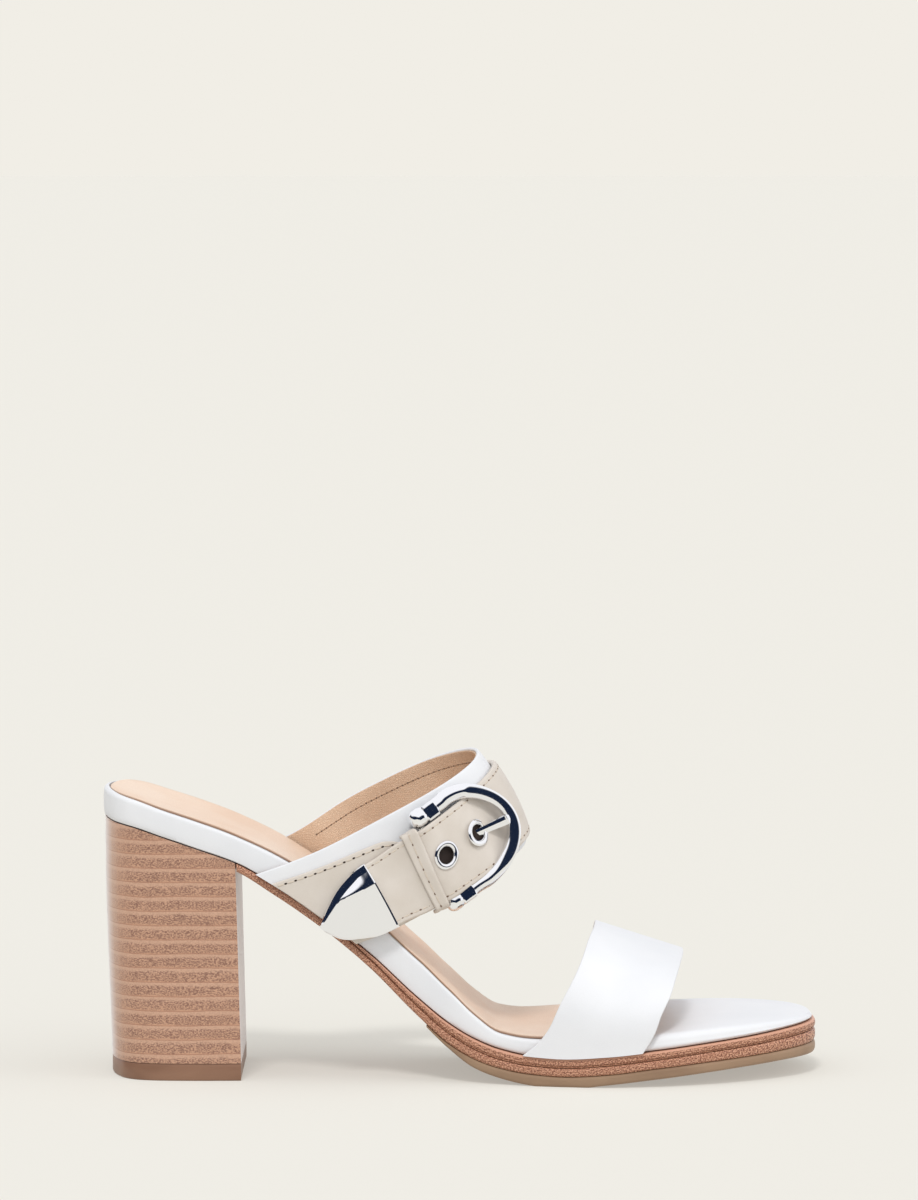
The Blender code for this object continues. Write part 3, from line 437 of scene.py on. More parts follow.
# %% Curves
class Curve:
    """A smooth line through a table's rows that never overshoots them."""

    def __init__(self, at, values):
        self.at = np.array(at, float)
        self.values = np.array(values, float)
        step = np.diff(self.at)
        rise = np.diff(self.values) / step
        self.slope = np.zeros(len(self.at))
        self.slope[0], self.slope[-1] = rise[0], rise[-1]
        for i in range(1, len(self.at) - 1):
            if rise[i - 1] * rise[i] > 0:
                before = 2 * step[i] + step[i - 1]
                after = step[i] + 2 * step[i - 1]
                self.slope[i] = (before + after) / (before / rise[i - 1] + after / rise[i])

    def __call__(self, x):
        x = np.clip(x, self.at[0], self.at[-1])
        i = np.clip(np.searchsorted(self.at, x) - 1, 0, len(self.at) - 2)
        h = self.at[i + 1] - self.at[i]
        t = (x - self.at[i]) / h
        a, b = self.values[i], self.values[i + 1]
        bend = self.slope[i] * t * (1 - t) ** 2 - self.slope[i + 1] * t * t * (1 - t)
        return a + (b - a) * t * t * (3 - 2 * t) + h * bend


def columns(rows, *names, sign=1):
    """A curve for each named column of a table, over its first column, which sign may reverse."""
    return [Curve([sign * row[0] for row in rows], [getattr(row, name) for row in rows])
            for name in names]


def smooth_path(points):
    """A smooth space curve through the points, as a function of 0 to 1 at an even pace."""
    points = np.array(points, float)
    step = np.linalg.norm(np.diff(points, axis=0), axis=1)
    knots = np.concatenate(([0.0], np.cumsum(step)))
    count = len(points)
    system = np.eye(count)
    right = np.zeros((count, 3))
    for i in range(1, count - 1):
        system[i, i - 1:i + 2] = step[i - 1], 2 * (step[i - 1] + step[i]), step[i]
        right[i] = 6 * ((points[i + 1] - points[i]) / step[i]
                        - (points[i] - points[i - 1]) / step[i - 1])
    bend = np.linalg.solve(system, right)

    def at(s):
        s = np.asarray(s) * knots[-1]
        i = np.clip(np.searchsorted(knots, s) - 1, 0, count - 2)
        h = step[i][..., None]
        a = (knots[i + 1] - s)[..., None] / h
        b = 1 - a
        return (a * points[i] + b * points[i + 1]
                + ((a ** 3 - a) * bend[i] + (b ** 3 - b) * bend[i + 1]) * h * h / 6)
    return at


def mix(a, b, t):
    return a + (b - a) * t


def ease(t):
    t = np.clip(t, 0.0, 1.0)
    return t * t * (3 - 2 * t)


def unit(vectors):
    return vectors / np.linalg.norm(vectors, axis=-1, keepdims=True)


def lengths_along(points):
    """How far each point lies along the line through all of them."""
    return np.concatenate(([0.0], np.cumsum(np.linalg.norm(np.diff(points, axis=0), axis=1))))


print("a curve half way between rows 1 and 2:", Curve([0, 1, 2], [1, 2, 2])(0.5))

# %% [markdown]
# ## The last
#
# Shoemakers build a shoe round a last, a wooden foot.  Here the last is a handful of functions:
# half the width and the height of the seat at each length.  Footbed, sock, sole and heel all ask
# the same functions, so they fit each other wherever they meet.  Length is measured as an angle
# round a circle, which brings the sections closer together at the round heel and toe.

# %% The last
FOOTBED_LENGTH = OUTLINE[-1].x
seat, rim, dish, rounding, sole, welt, ledge = columns(PROFILE, *PROFILE[0]._fields[1:])
tread, = columns(TREAD, "low")


def turn(x):
    """Length as an angle: 0 at the heel, pi at the toe, so that both ends close roundly."""
    return np.arccos(1 - 2 * np.clip(x / FOOTBED_LENGTH, 0.0, 1.0))


def length(angle):
    return FOOTBED_LENGTH / 2 * (1 - math.cos(angle))


outline_angles = turn(np.array([row.x for row in OUTLINE]))
OUTER = Curve(outline_angles, [row.outer for row in OUTLINE])
INNER = Curve(outline_angles, [row.inner for row in OUTLINE])


def half_width(x, side):
    return (INNER if side > 0 else OUTER)(turn(x))


def edge(angle, side, grow=0.0):
    """A point of the outline, moved outwards by grow."""
    width = INNER if side > 0 else OUTER
    small = 1e-3
    along = FOOTBED_LENGTH / 2 * math.sin(angle)
    out = (width(min(angle + small, math.pi)) - width(max(angle - small, 0.0))) / (2 * small)
    if angle < small or angle > math.pi - small:
        along = 0.0
    size = math.hypot(along, out)
    return length(angle) - grow * out / size, side * (width(angle) + grow * along / size)


def steep(x):
    """How much longer the sole's slope is than its plan, at x."""
    return math.hypot(1.0, (seat(x + 0.5) - seat(x - 0.5)))


def floor_height(x, y):
    """Top of the footbed."""
    half = np.maximum(np.where(y > 0, half_width(x, 1), half_width(x, -1)), 1.0)
    across = np.minimum(np.abs(y) / half, 1.0)
    return seat(x) + rim(x) - dish(x) * (1 - across ** 2)


widest = OUTLINE[int(np.argmax([row.outer + row.inner for row in OUTLINE]))]
print("widest", widest.outer + widest.inner, "mm at", widest.x, "mm from the heel")

# %% [markdown]
# ## Making and keeping pieces
#
# Every surface below is worked out in millimetres and becomes a mesh in one of two ways: as a grid
# of points that closes round each row, or as a small profile swept along a line.  A finished piece
# rides on the sandal's one body, and names the solid it stands for.


# %% Mesh helpers
def in_metres(points):
    """Points measured from the back of the heel, moved to the middle of the sandal's length."""
    return ((np.reshape(points, (-1, 3)) - (LENGTH / 2, 0, 0)) * MM).tolist()


def tag(mesh, name, values):
    """Give every point a number or a direction that nodes can read."""
    kind, key = ("FLOAT_VECTOR", "vector") if np.ndim(values) > 1 else ("FLOAT", "value")
    mesh.attributes.new(name, kind, "POINT").data.foreach_set(key, np.ravel(values))


def lofted(name, sections, finish, caps=(True, True), sharp=40.0, around=False, mark=None):
    """A closed skin over sections of equal count; around joins the last section to the first.

    Every point also carries its "flow", how far along and how far round the skin it lies, and a
    "mark" that a material can read, such as 1 where the sock's edge is painted with shade or where
    a sole layer's edge is painted with a highlight.
    "mark" that a material can read, such as 1 on a cut edge."""
    sections = np.array(sections, float)
    rows, count = sections.shape[:2]
    faces = []
    for k in range(rows if around else rows - 1):
        a, b = k * count, (k + 1) % rows * count
        faces += [(a + i, a + (i + 1) % count, b + (i + 1) % count, b + i) for i in range(count)]
    if caps[0] and not around:
        faces.append(tuple(range(count)))
    if caps[1] and not around:
        faces.append(tuple((rows - 1) * count + i for i in range(count)))
    mesh = bpy.data.meshes.new(name)
    mesh.from_pydata(in_metres(sections), [], faces)
    along = np.repeat(lengths_along(sections.mean(axis=1)), count)
    beside = np.tile(lengths_along(sections[rows // 2]), rows)
    tag(mesh, "flow", np.column_stack((along, beside, 0 * along)) * MM)
    tag(mesh, "mark", np.tile(mark if mark is not None else np.zeros(count), rows))
    work = bmesh.new()
    work.from_mesh(mesh)
    bmesh.ops.remove_doubles(work, verts=work.verts, dist=1e-6)
    bmesh.ops.recalc_face_normals(work, faces=work.faces)
    work.to_mesh(mesh)
    work.free()
    mesh.materials.append(finishes[finish])
    mesh.shade_smooth()
    mesh.set_sharp_from_angle(angle=math.radians(sharp))
    return placed(name, mesh)


def settle(item):
    """Turn an object with modifiers into a plain mesh."""
    bpy.context.view_layer.update()
    graph = bpy.context.evaluated_depsgraph_get()
    mesh = bpy.data.meshes.new_from_object(item.evaluated_get(graph))
    item.modifiers.clear()
    item.data = mesh
    mesh.name = item.name


def keep(item, slot, *nodes):
    """The piece rides on the sandal and hides the solids it stands for; slot is not used."""
    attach(item, "root")
    if nodes:
        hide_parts(*nodes)
    print(item.name, len(item.data.polygons), "faces")


print("the middle lies", LENGTH / 2, "mm from the back of the heel")


# %% Outline helpers
def fillet(corners, radius, count=3, closed=True):
    """A flat outline with every corner rounded by about the radius."""
    corners = [np.array(c, float) for c in corners]
    total = len(corners)
    line = []
    for k, corner in enumerate(corners):
        if not closed and k in (0, total - 1):
            line.append(tuple(corner))
            continue
        back, ahead = corners[k - 1] - corner, corners[(k + 1) % total] - corner
        sizes = np.linalg.norm(back), np.linalg.norm(ahead)
        size = min(radius, 0.45 * sizes[0], 0.45 * sizes[1])
        start, end = corner + back / sizes[0] * size, corner + ahead / sizes[1] * size
        for t in (i / count for i in range(count + 1)):
            line.append(tuple((1 - t) ** 2 * start + 2 * t * (1 - t) * corner + t ** 2 * end))
    return line


def strip(rear, front, low, high, radius, steps, arc=4):
    """Outline of a strap's cut: (side, height) over the top, round an edge and back underneath."""
    def quarter(side, height, start):
        angles = [math.radians(start - 90 * k / arc) for k in range(1, arc + 1)]
        return [(side + radius * math.cos(a), height + radius * math.sin(a)) for a in angles]

    rear, front = rear + radius, front - radius
    line = [(mix(rear, front, k / steps), high) for k in range(steps + 1)]
    line += quarter(front, high - radius, 90) + quarter(front, low + radius, 0)
    line += [(mix(front, rear, k / steps), low) for k in range(1, steps + 1)]
    line += quarter(rear, low + radius, -90) + quarter(rear, high - radius, -180)
    return np.array(line[:-1])


print(len(strip(0.0, 20.0, 0.0, 2.0, 0.5, 18)), "points round the cut of a strap")

# %% [markdown]
# ## Leathers, rubber and metal
#
# One grain pattern serves every leather, with its own size and depth in each: cells like the
# creases of a hide, and a finer noise for the pores.  It is a node group, so a change to it
# reaches them all.

# %% Shared grain group
CREASE_SWAY = (0.0006, 0.0006, 0.0006)   # metres by which the creases wander from straight cells
CREASE_WIDTH = 0.3
CREASE_DEPTH = -0.75                     # beside pores of depth 1


def grain_group():
    tree = bpy.data.node_groups.new("hide grain", "ShaderNodeTree")
    for way, kind, names in (("INPUT", "NodeSocketVector", ["Vector"]),
                             ("INPUT", "NodeSocketFloat", ["Scale", "Depth"]),
                             ("OUTPUT", "NodeSocketFloat", ["Height", "Crease"])):
        for name in names:
            tree.interface.new_socket(name, in_out=way, socket_type=kind)
    node = Nodes(tree)
    given = node("NodeGroupInput").node.outputs
    sway = node("ShaderNodeTexNoise", {"Vector": given["Vector"], "Scale": 700.0, "Detail": 2.0},
                "Color")
    swayed = node("ShaderNodeVectorMath", {0: sway, 1: CREASE_SWAY, 2: given["Vector"]},
                  operation="MULTIPLY_ADD")
    cells = node("ShaderNodeTexVoronoi", {"Vector": swayed, "Scale": given["Scale"]}, "Distance",
                 feature="DISTANCE_TO_EDGE")
    pores = node.noise(given["Vector"], node.math("MULTIPLY", given["Scale"], 2.2))
    crease = node.graded(cells, 0.0, CREASE_WIDTH, 1.0, 0.0, "SMOOTHSTEP")
    height = node.math("MULTIPLY_ADD", crease, CREASE_DEPTH, pores)
    deep = node.math("MULTIPLY", height, given["Depth"])
    node("NodeGroupOutput", {"Height": deep, "Crease": crease})
    print(tree.name, "of", len(tree.nodes), "nodes")
    return tree


GRAIN = grain_group()

# %% [markdown]
# ## Four leathers
#
# White and bone leather are finished with a thin even coat, so their grain is fine and shallow.
# The sock and the lining are plain vegetable tanned leather, with a deeper grain and a livelier
# colour.  Along the sock's marked edge a dark brown is painted into its colour: painted shade, for
# the shadow in the narrow gap beside the footbed's rim.

# %% Leathers
CREASE_COLOUR = (0.62, 0.5, 0.42)
# painted shade: dark brown on the sock's edge, for the shadow in the gap beside the footbed's rim
SOCK_EDGE_SHADE = (0.25, 0.13, 0.08)
# cells: how many creases to a metre; depth: of the grain, whose relief is as strong as bump; cloud:
# size of the mottling; crease: how much darker the creases are
LEATHERS = table("name dark light roughness cells depth bump coat cloud crease",
    ("white leather", (0.70, 0.71, 0.735), (0.752, 0.758, 0.778),
     0.42, 2600.0, 0.25, 0.12, 0.05, 40.0, 0.05),
    ("bone leather", (0.58, 0.522, 0.458), (0.635, 0.58, 0.523),
     0.46, 2400.0, 0.3, 0.15, 0.05, 90.0, 0.06),
    ("sock leather", (0.815, 0.597, 0.443), (0.873, 0.703, 0.568),
     0.5, 1700.0, 1.0, 0.5, 0.0, 35.0, 0.20),
    ("lining leather", (0.66, 0.455, 0.315), (0.77, 0.56, 0.40),
     0.55, 1600.0, 1.1, 0.7, 0.0, 50.0, 0.30))


def leather(hide):
    """A grained leather between two tones, darker in its creases; on the sock, painted shade
    darkens its marked edge.
    """
    node, shader = new_finish(hide.name, hide.light, hide.roughness)
    place = node("ShaderNodeTexCoord", out="Object")
    grain = node("ShaderNodeGroup", {}, node_tree=GRAIN).node
    node.fill(grain, {"Vector": place, "Scale": hide.cells, "Depth": hide.depth})
    cloud = node.noise(place, hide.cloud)
    tone = node.ramp(cloud, (0.32, hide.dark), (0.66, hide.light))
    creased = node.math("MULTIPLY", grain.outputs["Crease"], hide.crease)
    colour = node.mixed(creased, tone, CREASE_COLOUR, "MULTIPLY")
    if hide.name == "sock leather":
        # painted shade along the sock's marked edge
        colour = node.mixed(node.attribute("mark"), colour, SOCK_EDGE_SHADE)
    rough = node.graded(cloud, 0.0, 1.0, hide.roughness - 0.06, hide.roughness + 0.08)
    relief = node.relief(grain.outputs["Height"], hide.bump)
    node.fill(shader, {"Base Color": colour, "Roughness": rough, "Normal": relief,
                       "Coat Weight": hide.coat, "Coat Roughness": 0.3})


for hide in LEATHERS:
    leather(hide)
new_finish("thread", (0.60, 0.52, 0.43), 0.7)
new_finish("brown thread", (0.36, 0.22, 0.14), 0.7)
# painted shade: dark beads for the shade inside the seams' needle holes
new_finish("needle hole", (0.045, 0.028, 0.02), 0.9)
new_finish("soft hole", (0.17, 0.11, 0.075), 0.9)
new_finish("hole shade", (0.030, 0.020, 0.017), 0.9)

# %% [markdown]
# ## Cut edges of sole leather
#
# The edge of a thick leather layer shows the cut ends of its fibres: coarse, speckled and stained.
# A shoemaker rubs wax into it and burnishes it with a hot wheel, which darkens it.  A pale band
# painted along the top of the upper layer's edge stands in for its highlight.  The pattern follows
# the edge by the "flow" that every skin carries.


# %% Burnished leather
def burnished():
    """Sole leather's cut edge: coarse fibres stained dark, with a pale highlight painted along its
    top.
    """
    node, shader = new_finish("burnished leather", (0.42, 0.18, 0.105), 0.42)
    fibre = node.noise(node.attribute("flow", "Vector"), 2600.0, 4.0, (0.75, 1.0, 1.0))
    tone = node.ramp(fibre, (0.40, (0.15, 0.050, 0.028)), (0.50, (0.38, 0.165, 0.094)),
                     (0.60, (0.62, 0.35, 0.23)))
    # painted highlight: a paler colour where the mark is set, along the top of the upper layer's
    # edge
    rim_highlight = node.mixed(node.attribute("mark"), tone, (0.57, 0.30, 0.20))
    node.fill(shader, {"Base Color": rim_highlight, "Normal": node.relief(fibre, 0.5)})


burnished()

# %% [markdown]
# ## Stacked leather
#
# The heel's sheets are each a few millimetres thick.  Height on the heel, taken within one sheet,
# tells where on its edge a point lies: a thin dark line where two sheets meet, a smooth pale band
# near the top, and rough speckled leather below it, whose border is ragged.

# %% Stacked leather
SHEET = 4.55          # height of one leather sheet of the heel
SHEET_LINE = (0.36, 0.165, 0.095)
BACK_SMOOTH = -0.1105, -0.1035       # x in metres: fewer specks on the heel's round back, full speckle past it


def stacked():
    """Edges of stacked sheets: each is smooth and pale at its top, rough and speckled below, and a
    painted sheen pales the colour at a glancing angle.
    """
    node, shader = new_finish("stacked leather", (0.48, 0.29, 0.17), 0.45)
    place = node("ShaderNodeTexCoord", out="Object")
    part = node("ShaderNodeSeparateXYZ", {0: place}).node.outputs
    height = node.math("MULTIPLY_ADD", node.noise(place, 45.0, 2.0), 0.0010, part["Z"])
    within = node.math("FRACT", node.math("DIVIDE", height, SHEET * MM))
    ragged = node.noise(place, 260.0, 3.0, (0.5, 0.5, 1.0))
    uneven = node.math("MULTIPLY_ADD", ragged, 0.42, within)
    rough = node.ramp(uneven, (0.18, 0.0), (0.32, 0.9), (0.86, 1.0), (1.0, 0.25))
    base = node.ramp(within, (0.0, SHEET_LINE), (0.045, (0.52, 0.288, 0.18)),
                     (0.60, (0.53, 0.30, 0.195)), (0.76, (0.56, 0.333, 0.225)),
                     (0.95, (0.565, 0.338, 0.23)), (1.0, SHEET_LINE))
    dots = node.ramp(node.noise(place, 2900.0, 3.0, (0.6, 0.6, 1.0)), (0.42, 0.0), (0.60, 1.0))
    rough = node.math("MULTIPLY", rough, node.graded(part["X"], *BACK_SMOOTH, 0.25, 1.0))
    specks = node.math("MULTIPLY", rough, dots)
    colour = node.mixed(node.math("MULTIPLY", specks, 0.82), base, (0.17, 0.068, 0.045))
    # painted sheen: at a glancing angle the base colour turns pale pink-white
    glance = node("ShaderNodeLayerWeight", {"Blend": 0.5}, "Facing")
    painted_sheen = node.mixed(node.ramp(glance, (0.72, 0.0), (0.97, 1.0)), colour, (0.80, 0.72, 0.72))
    node.fill(shader, {"Base Color": painted_sheen, "Normal": node.relief(specks, 0.5, invert=True),
                       "Coat Weight": 0.45, "Coat Roughness": 0.2})


stacked()

# %% [markdown]
# ## Rubber and plating
#
# Rubber is dull, lightly clouded along its length and finely rough all over.  The buckle's plating
# is nearly a mirror, so most of its look is the room that it reflects; only its roughness varies,
# as wiping leaves it.


# %% Rubber and metal
def rubber(name, dark, light, roughness):
    node, shader = new_finish(name, light, roughness)
    place = node("ShaderNodeTexCoord", out="Object")
    tone = node.ramp(node.noise(place, 70.0, 3.0, (0.4, 1.0, 1.0)), (0.34, dark), (0.64, light))
    fine = node.noise(place, 2200.0, 2.0)
    node.fill(shader, {"Base Color": tone, "Normal": node.relief(fine, 0.2, 0.0001)})


def metal():
    """Polished plating: bright and even, with the faintest haze of wiping."""
    node, shader = new_finish("polished metal", (0.90, 0.905, 0.92), 0.06, 1.0)
    haze = node.noise(node("ShaderNodeTexCoord", out="Object"), 300.0, 4.0, (1.0, 1.0, 0.2))
    node.fill(shader, {"Roughness": node.graded(haze, 0.0, 1.0, 0.03, 0.11)})


rubber("outsole rubber", (0.225, 0.135, 0.08), (0.305, 0.195, 0.12), 0.5)
rubber("lift rubber", (0.205, 0.102, 0.06), (0.288, 0.155, 0.095), 0.42)
metal()

# %% [markdown]
# ## Footbed and sock
#
# A footbed is a shaped board with foam on it, wrapped in leather that is pulled tight round its
# edge. Its cut is the same all the way along, a flat base, an upright wall and a soft shoulder, so
# one section swept from heel to toe makes it, widened and raised by the last's own curves.

# %% Footbed
FOOTBED_COLUMNS = 22
WALL_BULGE = 0.14     # how far the padded wall swells


def fine_stations(start=0.0, end=FOOTBED_LENGTH, count=220):
    first, last = turn(start), turn(end)
    return [mix(first, last, k / count) for k in range(count + 1)]


def across(angle, grow, height):
    """Points from the outer to the inner edge, height(x, y) up."""
    a, b = np.array(edge(angle, -1, grow)), np.array(edge(angle, 1, grow))
    line = mix(a, b, np.linspace(0, 1, FOOTBED_COLUMNS + 2)[:, None])
    return np.column_stack((line, height(line[:, 0], line[:, 1])))


def wall_points(angle, side, grow, up):
    """Points beside the outline: moved outwards by grow, up above the seat."""
    x, y = edge(angle, side, np.array(grow))
    return np.column_stack((x, y, seat(x) + up))


def footbed_section(angle):
    x = length(angle)
    radius, rise = rounding(x), rim(x)
    share = np.linspace(0, 1, 7)[1:]
    corner = math.pi / 2 * share
    grow = [-1.1, -0.5, -0.15,           # the tucked lower edge, the swollen wall, the shoulder
            *(WALL_BULGE * np.sin(math.pi * share)), *(-radius * (1 - np.cos(corner)))]
    up = [GAP, GAP + 0.1, GAP + 0.4,
          *mix(0.9, rise - radius, share), *(rise - radius * (1 - np.sin(corner)))]
    walls = [wall_points(angle, side, grow, up) for side in (-1, 1)]
    top = across(angle, -radius, floor_height)
    return np.concatenate((walls[0], top[1:-1], walls[1][::-1]))


footbed_cover = lofted("footbed_cover", [footbed_section(a) for a in fine_stations()],
                       "white leather", caps=(False, False))
keep(footbed_cover, "white_leather", "footbed")

# %% Sock
SOCK_INSET = 0.9
SOCK_HEEL_INSET = 1.1                # more of it at the back of the heel, gone at SOCK_HEEL
SOCK_HEEL = 24.0
SOCK_WALL = 0.9
SOCK_END = 163.0
SOCK_EDGE = 0.35


def sock_section(angle):
    inset = SOCK_INSET + SOCK_HEEL_INSET * (1 - ease(length(angle) / SOCK_HEEL))
    over = across(angle, -inset - SOCK_EDGE, lambda x, y: floor_height(x, y) + GAP / 3 + SOCK_WALL)
    drops = (0.0, SOCK_WALL), (0.0, SOCK_EDGE), (0.3 * SOCK_EDGE, 0.3 * SOCK_EDGE)
    walls = [[(*edge(angle, side, -inset - turned), top[2] - drop) for turned, drop in drops]
             for side, top in ((-1, over[0]), (1, over[-1]))]
    under = across(angle, -inset, lambda x, y: floor_height(x, y) + GAP / 3)
    return np.concatenate((walls[0], over, walls[1][::-1], under[-2:0:-1]))


flat = [0] * FOOTBED_COLUMNS
# the mark paints shade on the sock's edge walls, for the shadow in the gap beside the footbed's rim
sock_lining = lofted("sock_lining", [sock_section(a) for a in fine_stations(0.0, SOCK_END, 170)],
                     "sock leather", caps=(False, True),
                     mark=np.array([1, 0.7, 0.2, 0, *flat, 0, 0.2, 0.7, 1, *flat]))
keep(sock_lining, "tan_leather", "sock")

# %% [markdown]
# ## Layered sole
#
# Two layers of leather lie on a rubber outsole.  Their edges were trimmed and burnished together,
# so they share one outline.  Each layer's edge is worn round, and the upper one has a fine groove
# beside the joint and a highlight painted along its top.

# %% Sole layers
SOLE_STATIONS = 240
LEAST_DEPTH = 0.05    # where a layer is feathered out
LAYER_REACH = -3.0    # how far inside its edge a layer's section starts
EDGE_ROUND = 0.55     # how far the top and bottom of a layer's wall fall back
GROOVE_DEPTH = 0.36   # of the groove along a leather layer
JOINT = 0.18          # the dark line between two layers


def leather_low(x):
    return seat(x) - sole(x)


def rounded(share):
    """An edge worn round: fullest in the middle of its height."""
    return -EDGE_ROUND * np.abs(2 * share - 1) ** 3.2


def wheeled(share):
    """A rounded edge with the fine groove that a hot wheel presses beside the joint."""
    return rounded(share) - GROOVE_DEPTH * np.exp(-((share - 0.2) / 0.05) ** 2)


def sole_layer(name, start, low, high, edge_radius, finish, shape=rounded):
    """A layer between two heights; shape moves its edge in or out from its bottom to its top."""
    sections = []
    for angle in fine_stations(start, FOOTBED_LENGTH, SOLE_STATIONS):
        x = length(angle)
        depth = max(high(x) - low(x), LEAST_DEPTH)
        wall = [(0.0, share * depth) for share in np.linspace(0, 1, 21)[1:-1]]
        corners = [(LAYER_REACH, 0.0), (0.0, 0.0), *wall, (0.0, depth), (LAYER_REACH, depth)]
        line = np.array(fillet(corners, min(edge_radius, 0.06 * depth), closed=False))
        grow, up = line.T
        walls = []
        for side in (-1, 1):
            px, py = edge(angle, side, ledge(x) + grow + shape(up / depth))
            height = up / depth * np.maximum(high(px) - low(px), LEAST_DEPTH)
            walls.append(np.column_stack((px, py, low(px) + height)))
        sections.append(np.concatenate((walls[0], walls[1][::-1])))
    # painted highlight along the top of the grooved edge, read by the burnished leather
    rim_highlight = ease((up / depth - 0.76) / 0.1) if shape is wheeled else 0 * up
    return lofted(name, sections, finish, mark=np.concatenate((rim_highlight, rim_highlight[::-1])))


keep(sole_layer("welt_layer", WELT_START, lambda x: seat(x) - welt(x), seat, 0.45,
                "burnished leather", wheeled), "sole_leather", "welt")
keep(sole_layer("midsole_layer", HEEL[-1].breast + 0.4, leather_low,
                lambda x: seat(x) - np.where(x > WELT_START - 1, welt(x) + JOINT, 0.0), 0.4,
                "burnished leather"), "sole_leather", "midsole")
keep(sole_layer("outsole_rubber", RUBBER_START, lambda x: np.maximum(tread(x), 0.0),
                lambda x: leather_low(x) - 0.15, 0.5, "outsole rubber"),
     "outsole_rubber", "outsole")

# %% [markdown]
# ## Stacked heel
#
# The heel is glued up from leather sheets and then turned to shape, so every sheet's edge shows as
# a level band whatever the curve.  The mesh is a pile of level outlines, close together, and each
# one is moved in or out by where it lies within its sheet.

# %% Heel
SHEET_STEP = 0.55     # height between two outlines of the mesh
SHEET_SHIFT = 0.02    # how far the sheets stand out past one another
SHEET_LINE_HALF = 0.22      # half the height of the line between two sheets
SHEET_LINE_DEPTH = 0.045
HEEL_LOW = LIFT_HEIGHT + 0.12
HEEL_TOP = seat(0.0)
HEEL_INSET = 0.4      # of the heel within the footbed's outline, and before its breast
heel_back, heel_breast, heel_half = columns(HEEL, "back", "breast", "half")


def sheet_relief(z):
    """Out or in by a sheet's place: a fine step and a narrow line where two sheets meet."""
    number = int(z / SHEET)
    within = (z - number * SHEET) / SHEET
    line = math.exp(-((min(within, 1 - within) * SHEET) / SHEET_LINE_HALF) ** 2)
    return SHEET_SHIFT * math.sin(number * 2.4) - SHEET_LINE_DEPTH * line


HEEL_LENGTH = HEEL[-1].breast - HEEL_INSET
heel_angles = fine_stations(0.0, HEEL[-1].breast, 64)
heel_sides = {}
for side in (-1, 1):
    inner = np.array([edge(angle, side, -HEEL_INSET) for angle in heel_angles])
    outer = np.array([edge(angle, side, 1 - HEEL_INSET) for angle in heel_angles])
    heel_sides[side] = np.column_stack((inner, outer - inner))


def heel_outline(z, relief):
    """The heel's outline at a height, its top cut by the seat; relief moves it outwards."""
    walls = {}
    for side, wall in heel_sides.items():
        px, py, out_x, out_y = wall.T
        top = seat(px)
        up = np.clip((z - HEEL_LOW) / (top - HEEL_LOW), 0.0, 1.0)
        back, breast, half = heel_back(up), heel_breast(up), heel_half(up)
        scale = (breast - back) / HEEL_LENGTH
        x = back + (px - HEEL_INSET) * scale + out_x * relief
        y = py * half / HEEL[-1].half + out_y * relief
        walls[side] = np.column_stack((x, y, np.minimum(z, top)))
    face = mix(walls[-1][-1], walls[1][-1], np.linspace(0, 1, 26)[1:-1, None]) + (relief, 0, 0)
    return np.concatenate((walls[-1][::-1], walls[1][1:], face[::-1]))


heights = [HEEL_LOW]
while heights[-1] < HEEL_TOP:
    heights.append(heights[-1] + SHEET_STEP)
heel_stack = lofted("heel_stack", [heel_outline(z, sheet_relief(z)) for z in heights],
                    "stacked leather", sharp=32.0)
keep(heel_stack, "stacked_leather", "heel_block")

# %% Top lift
lift_levels = ((0.0, -0.55), (0.18, -0.2), (0.55, 0.0), (3.0, 0.02), (LIFT_HEIGHT - 0.35, 0.0),
               (LIFT_HEIGHT, -0.25))
lift_outlines = [[(x, y, up) for x, y, _ in heel_outline(HEEL_LOW, grow)]
                 for up, grow in lift_levels]
top_lift = lofted("top_lift_rubber", lift_outlines, "lift rubber", sharp=50.0)
keep(top_lift, "lift_rubber", "top_lift")

# %% [markdown]
# ## The surface of a band
#
# A band over the foot is leather bent one way only, so it can be ruled by lines that run from one
# side of the sole to the other.  Each line is a spline over the foot, and the band is all the
# lines from its rear edge to its front edge.  Everything that lies on the band, such as lining,
# overlay, belt and stitches, is then placed by three numbers: so far along, so far across, so far
# off it.

